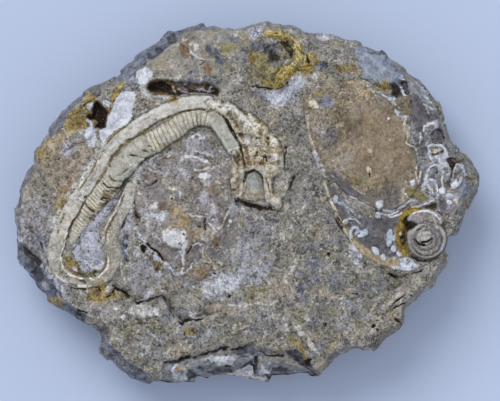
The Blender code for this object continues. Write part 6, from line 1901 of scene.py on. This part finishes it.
    area("330,42 360,42 390,60 412,78 426,90 410,92 392,78 370,72 350,62 332,56", 6, slate=0.5, calm=0.5),
    area("362,64 382,62 403,71 402,84 384,82 364,78", 3, -0.2, chert=1, calm=0.9),
    area("376,70 386,68 390,74 380,76", 2, -0.1, slate=0.8),
    area("318,60 329,60 330,69 319,69", 2.5, slate=0.8),
    area("330,66 344,63 358,65 356,72 340,74", 2.5, rust=0.6, olive=0.9, calm=0.5),
    area("410,88 430,94 444,118 452,150 470,172 474,190 462,204 456,190 452,168 444,146 438,122 424,102",
         4, slate=0.5),
]
rockShadows = [
    # painted shadows in the dark gaps beside the fossils, drawn after the rock has been raised against them
    line("236,200 245,203.5 255,206 262,208.5 272,207", 2.8, 2.4, -1.3, soot=0.85, olive=0.8),
    line("273,209 280,208", 1.6, 1.6, -0.8, soot=0.6),
    line("286.6,146 285,152 283.6,158 283.4,166", 1.2, 1.4, -1, soot=0.95),
    line("293,178 290.5,182 290,187", 1, 1.4, -0.6, soot=0.75),
    line("389,273.5 394.6,276.8 402,276.4 412,274 421.5,271.6", 0.8, 1.2, -0.8, soot=0.7),
    line("303,92 304,108 306,124 311,143 316,156 322,170", 0.7, 1.2, -0.2, soot=0.4),
    line("331,212 337,222 345,232 352,243", 1.2, 1.4, -0.5, soot=0.62),
    line("412,257 420,260.5 430,260.5 438,256", 1.2, 1.8, -0.7, soot=0.6),
]
rockLook = {
    **plainStone, "name": "slab rock",
    "layers": [
        ("warm", (128, 119, 106), (168, 157, 143), 0.25, None),
        ("olive", (102, 96, 62), (148, 141, 102), 0.22, None),
        ("rust", (92, 68, 42), (142, 116, 84), 0.2, None),
        ("pale", (162, 160, 155), (204, 203, 200), 0.18, None),
        ("grey", (138, 139, 149), (182, 184, 194), 0.35, None),
        ("slate", (60, 63, 71), (130, 134, 146), 0.24, 0.5),
        ("flint", (30, 32, 38), (88, 92, 102), 0.24, 0.42),
        ("glass", (98, 99, 101), (146, 148, 152), 0.24, 0.4),
        ("chert", (112, 119, 131), (156, 165, 178), 0.25, 0.5),
        ("ochre", (106, 88, 46), (170, 150, 94), 0.3, None),
        ("chalk", (160, 162, 170), (211, 213, 220), 0.26, None),
    ],
    "ragged": {"rest": 0.8, "glass": 0.3, "chert": 0.5},
}


def makeRockCanvas(fossils):
    c = Canvas(*rock["canvas"])
    c.height += rock["rise"]
    for height, *settings in rock["relief"]:
        c.height += height * c.noise(*settings)
    # small holes, and grains like pebbles
    c.height -= 0.35 * smooth(0.38, 0.6, c.noise(1.7, 2, 126))
    c.height += 0.2 * (0.6 - cells(c.x, c.y, 1.5, 130))
    for points, drop, reach in rock["steps"]:
        apart, side, along = signedSide(c.wx, c.wy, points)
        apart = apart * photo["mmPerPixel"]
        taper = smooth(0, 0.12, along) * smooth(0, 0.12, 1 - along)
        c.height -= np.where(side > 0, drop * taper * smooth(0, 0.6, apart) * np.exp(-apart / reach), 0.0)
    plain = c.height.copy()
    c.draw(rockMarks)
    c.fields["marked"] = c.height - plain
    farBelow = -9.0
    tops = [fossil.sample(fossil.height, c.px, c.py, farBelow) for fossil in fossils]
    for over, share in zip(tops, rock["banks"]):
        # the rock leans up against a fossil's edge
        under = (over > c.height).astype(float)
        near = blurred(under, rock["bankReach"])
        level = blurred(under * np.minimum(over, rock["bankTop"]), rock["bankReach"])
        level = level / np.maximum(near, 0.02)
        rise = np.maximum(0, share * level - rock["bankShort"] - c.height) * smooth(0.02, 0.42, near)
        c.height += rise * (c.height > rock["bankAbove"])
    c.draw(rockShadows + rightOysterRim + middleOysterRim + goldenHollow)
    natural, covered = c.height.copy(), np.zeros(c.px.shape, bool)
    for over in tops:
        # under a fossil the rock stays out of its way
        c.height = np.where(shrunk(over > natural + 0.1, 2), np.minimum(c.height, over - 0.5), c.height)
        natural = np.maximum(natural, over)
        covered |= over > 0.3
    c.fields["hollow"] = np.clip((natural - blurred(natural, 2)) / 0.5, -1, 0.5)
    c.fields["covered"] = shrunk(covered, 5).astype(float)
    deep = (c.height < rock["pitBelow"]) & (insideDepth(c.px, c.py, rock["pitsWithin"]) > 0)
    c.fields["pit"] = deep.astype(float)
    return c


def makeRock(canvas):
    # an even copy of the slab's own shape, finer on the face, raised to the canvas there, and chipped
    # at the sides
    pickOnly(frame["nodes"]["rock_slab"])
    bpy.ops.object.duplicate()
    piece = bpy.context.object
    piece.name = "rockFace"
    piece.parent = None
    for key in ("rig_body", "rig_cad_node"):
        if key in piece:
            del piece[key]
    bpy.ops.object.mode_set(mode="EDIT")
    bpy.ops.mesh.select_all(action="SELECT")
    bpy.ops.mesh.remove_doubles(threshold=0.00001)
    bpy.ops.object.mode_set(mode="OBJECT")
    remesh = piece.modifiers.new("even faces", "REMESH")
    remesh.mode = "VOXEL"
    remesh.voxel_size = rock["voxel"] * mm
    bpy.ops.object.modifier_apply(modifier=remesh.name)
    soften = piece.modifiers.new("soften", "SMOOTH")
    soften.factor = 0.5
    soften.iterations = 3
    bpy.ops.object.modifier_apply(modifier=soften.name)
    mesh = piece.data
    x, y, z = vectors(mesh.polygons, "center").T / mm
    upward = vectors(mesh.polygons, "normal")[:, 2]
    onFace = (z - domeHeight(x, y) > rock["fineFrom"]) | (upward > 0.3)
    hidden = canvas.sample(canvas.fields["covered"], *toPixels(x, y)) > 0.5
    selectFaces(mesh, onFace & ~hidden & (z > rock["fineAbove"]))
    bpy.ops.object.mode_set(mode="EDIT")
    bpy.ops.mesh.select_mode(type="FACE")
    bpy.ops.mesh.subdivide(number_cuts=1)
    bpy.ops.mesh.select_all(action="SELECT")
    bpy.ops.mesh.normals_make_consistent(inside=False)
    bpy.ops.object.mode_set(mode="OBJECT")
    mesh = piece.data
    places = vectors(mesh.vertices, "co") / mm
    directions = vectors(mesh.vertices, "normal")
    x, y, z = places.T
    px, py = toPixels(x, y)
    face = domeHeight(x, y) + canvas.sample(canvas.height, px, py)
    inPit = canvas.sample(canvas.fields["pit"], px, py)
    share = np.maximum(smooth(*rock["faceFrom"], z - domeHeight(x, y)), inPit * (z > rock["pitDownTo"]))
    # the broken sides: flat chips with sharp creases between them, then a finer roughness
    chips = np.zeros(len(z))
    for size, depth, seed in rock["chips"]:
        chips += depth * chipRelief(x, y, z, size, seed)
    fineRough = sum(depth * rough(x, y, *settings, z) for depth, *settings in rock["sideRough"])
    push = (rock["swell"] + chips + fineRough) * (1 - share) * smooth(0.2, 2.5, z)
    # x, y and z look into the places, so from here on they are where a point has moved to
    places += directions * push[:, None]
    # what faces up beyond the face carries the marks too
    tint = np.maximum(share, smooth(0.08, 0.36, directions[:, 2]) * smooth(3, 6, z))
    marked = np.clip(canvas.sample(canvas.fields["marked"], px, py), -1.2, 0.8)
    places[:, 2] += marked * tint * (1 - share)
    places[:, 2] = np.where(share > 0, places[:, 2] * (1 - share) + face * share, places[:, 2])
    places[:, 2] = np.maximum(places[:, 2], 0.0)
    mesh.vertices.foreach_set("co", (places * mm).ravel())
    # colours: the canvas's on the face, and slate, chalk and plain rock on the sides and the back
    angle = np.degrees(np.arctan2(y, x)) % 360
    slate = np.interp(angle, rock["slateAt"], rock["slate"])
    sides = {"slate": slate + 0.25 * rough(x, y, 14, 2, 170, z) - 0.25 * smooth(9, 2, z),
             "calm": np.full(len(z), rock["sideCalm"])}
    for name, (level, uneven, size, octaves, seed) in rock["sides"].items():
        sides[name] = level + uneven * rough(x, y, size, octaves, seed, z)
    for name in maskNames:
        onTop = canvas.sample(canvas.masks[name], px, py)
        writeField(mesh, name, onTop * tint + sides.get(name, np.zeros(len(x))) * (1 - tint))
    # painted shade in hollows and painted highlights on ridges; on the sides they follow how far each chip
    # stands in or out
    hollow = canvas.sample(canvas.fields["hollow"], px, py) * tint
    writeField(mesh, "hollow", hollow + np.clip(chips, -1, 1) * (1 - tint) * 0.5)
    bpy.ops.object.shade_smooth()
    return piece


print("shaping the fossils")
fossils = [
    ("worm_tube", "wormTube", makeTube, tubeLook, "tube"),
    ("tube_mouth_plug", "mouthCast", makePlug, plugLook, "tube_infill"),
    ("middle_oyster_shell", "middleOyster", makeMiddleOyster, middleOysterLook, "oyster"),
    ("right_oyster_shell", "rightOyster", makeRightOyster, rightOysterLook, "flinty_shell"),
    ("coiled_shell", "coiledShell", makeCoil, coilLook, "coil"),
    ("ochre_shell", "ochreShell", makeOchreShell, ochreLook, "ochre"),
]
canvases = []
for node, pieceName, shape, look, slot in fossils:
    canvas = shape()
    piece = sculpt(pieceName, canvas)
    dress(piece, look, node)
    canvases.append(canvas)
    print("made", pieceName, len(piece.data.vertices), "points")

print("shaping the rock")
rockPiece = makeRock(makeRockCanvas(canvases))
dress(rockPiece, rockLook, "rock_slab")
print("made the rock", len(rockPiece.data.vertices), "points")

# Floor, light and camera
studio = {
    # the floor's size in metres, and how much darker its faint patches are
    "floorSize": 4, "floorTone": (177, 189, 211), "floorShade": 8,
    "skyTone": (240, 244, 255), "skyStrength": 0.85,
    # angles in degrees
    "sunStrength": 1.7, "sunTilt": 42, "sunLean": -8, "sunTurn": 20, "sunSoftness": 36,
    # how far the camera is over the top of the rock, in metres
    "cameraHeight": 2.2,
}


def makeStudio():
    bpy.ops.object.select_all(action="DESELECT")
    bpy.ops.mesh.primitive_plane_add(size=studio["floorSize"], location=(0, 0, 0))
    floor = bpy.context.object
    floor.name = "floor"
    g = Graph("pale floor")
    darker = tuple(v - studio["floorShade"] for v in studio["floorTone"])
    shade = g.mix(g.spread(g.noise(220, 3, 2.0), 0.4, 0.6, 0.0, 0.25), studio["floorTone"], darker)
    floor.data.materials.append(g.surface(shade, 0.9, 0.1))
    world = bpy.data.worlds.new("studio")
    bpy.context.scene.world = world
    world.use_nodes = True
    background = world.node_tree.nodes["Background"]
    background.inputs["Color"].default_value = colour(studio["skyTone"])
    background.inputs["Strength"].default_value = studio["skyStrength"]
    bpy.ops.object.light_add(type="SUN", location=(0, 0.3, 0.6))
    sun = bpy.context.object
    sun.data.energy = studio["sunStrength"]
    sun.data.angle = math.radians(studio["sunSoftness"])
    turns = (-studio["sunTilt"], studio["sunLean"], studio["sunTurn"])
    sun.rotation_euler = tuple(math.radians(turn) for turn in turns)
    middleX, middleY = toMillimetres(photo["width"] / 2, photo["height"] / 2)
    high = dome["top"] * mm + studio["cameraHeight"]
    bpy.ops.object.camera_add(location=(middleX * mm, middleY * mm, high))
    camera = bpy.context.object
    wide = photo["width"] * photo["mmPerPixel"] * mm
    camera.data.lens = camera.data.sensor_width * studio["cameraHeight"] / wide
    camera.data.clip_start = 0.01
    bpy.context.scene.camera = camera
    bpy.context.scene.view_settings.view_transform = "Standard"


makeStudio()
print("studio ready")
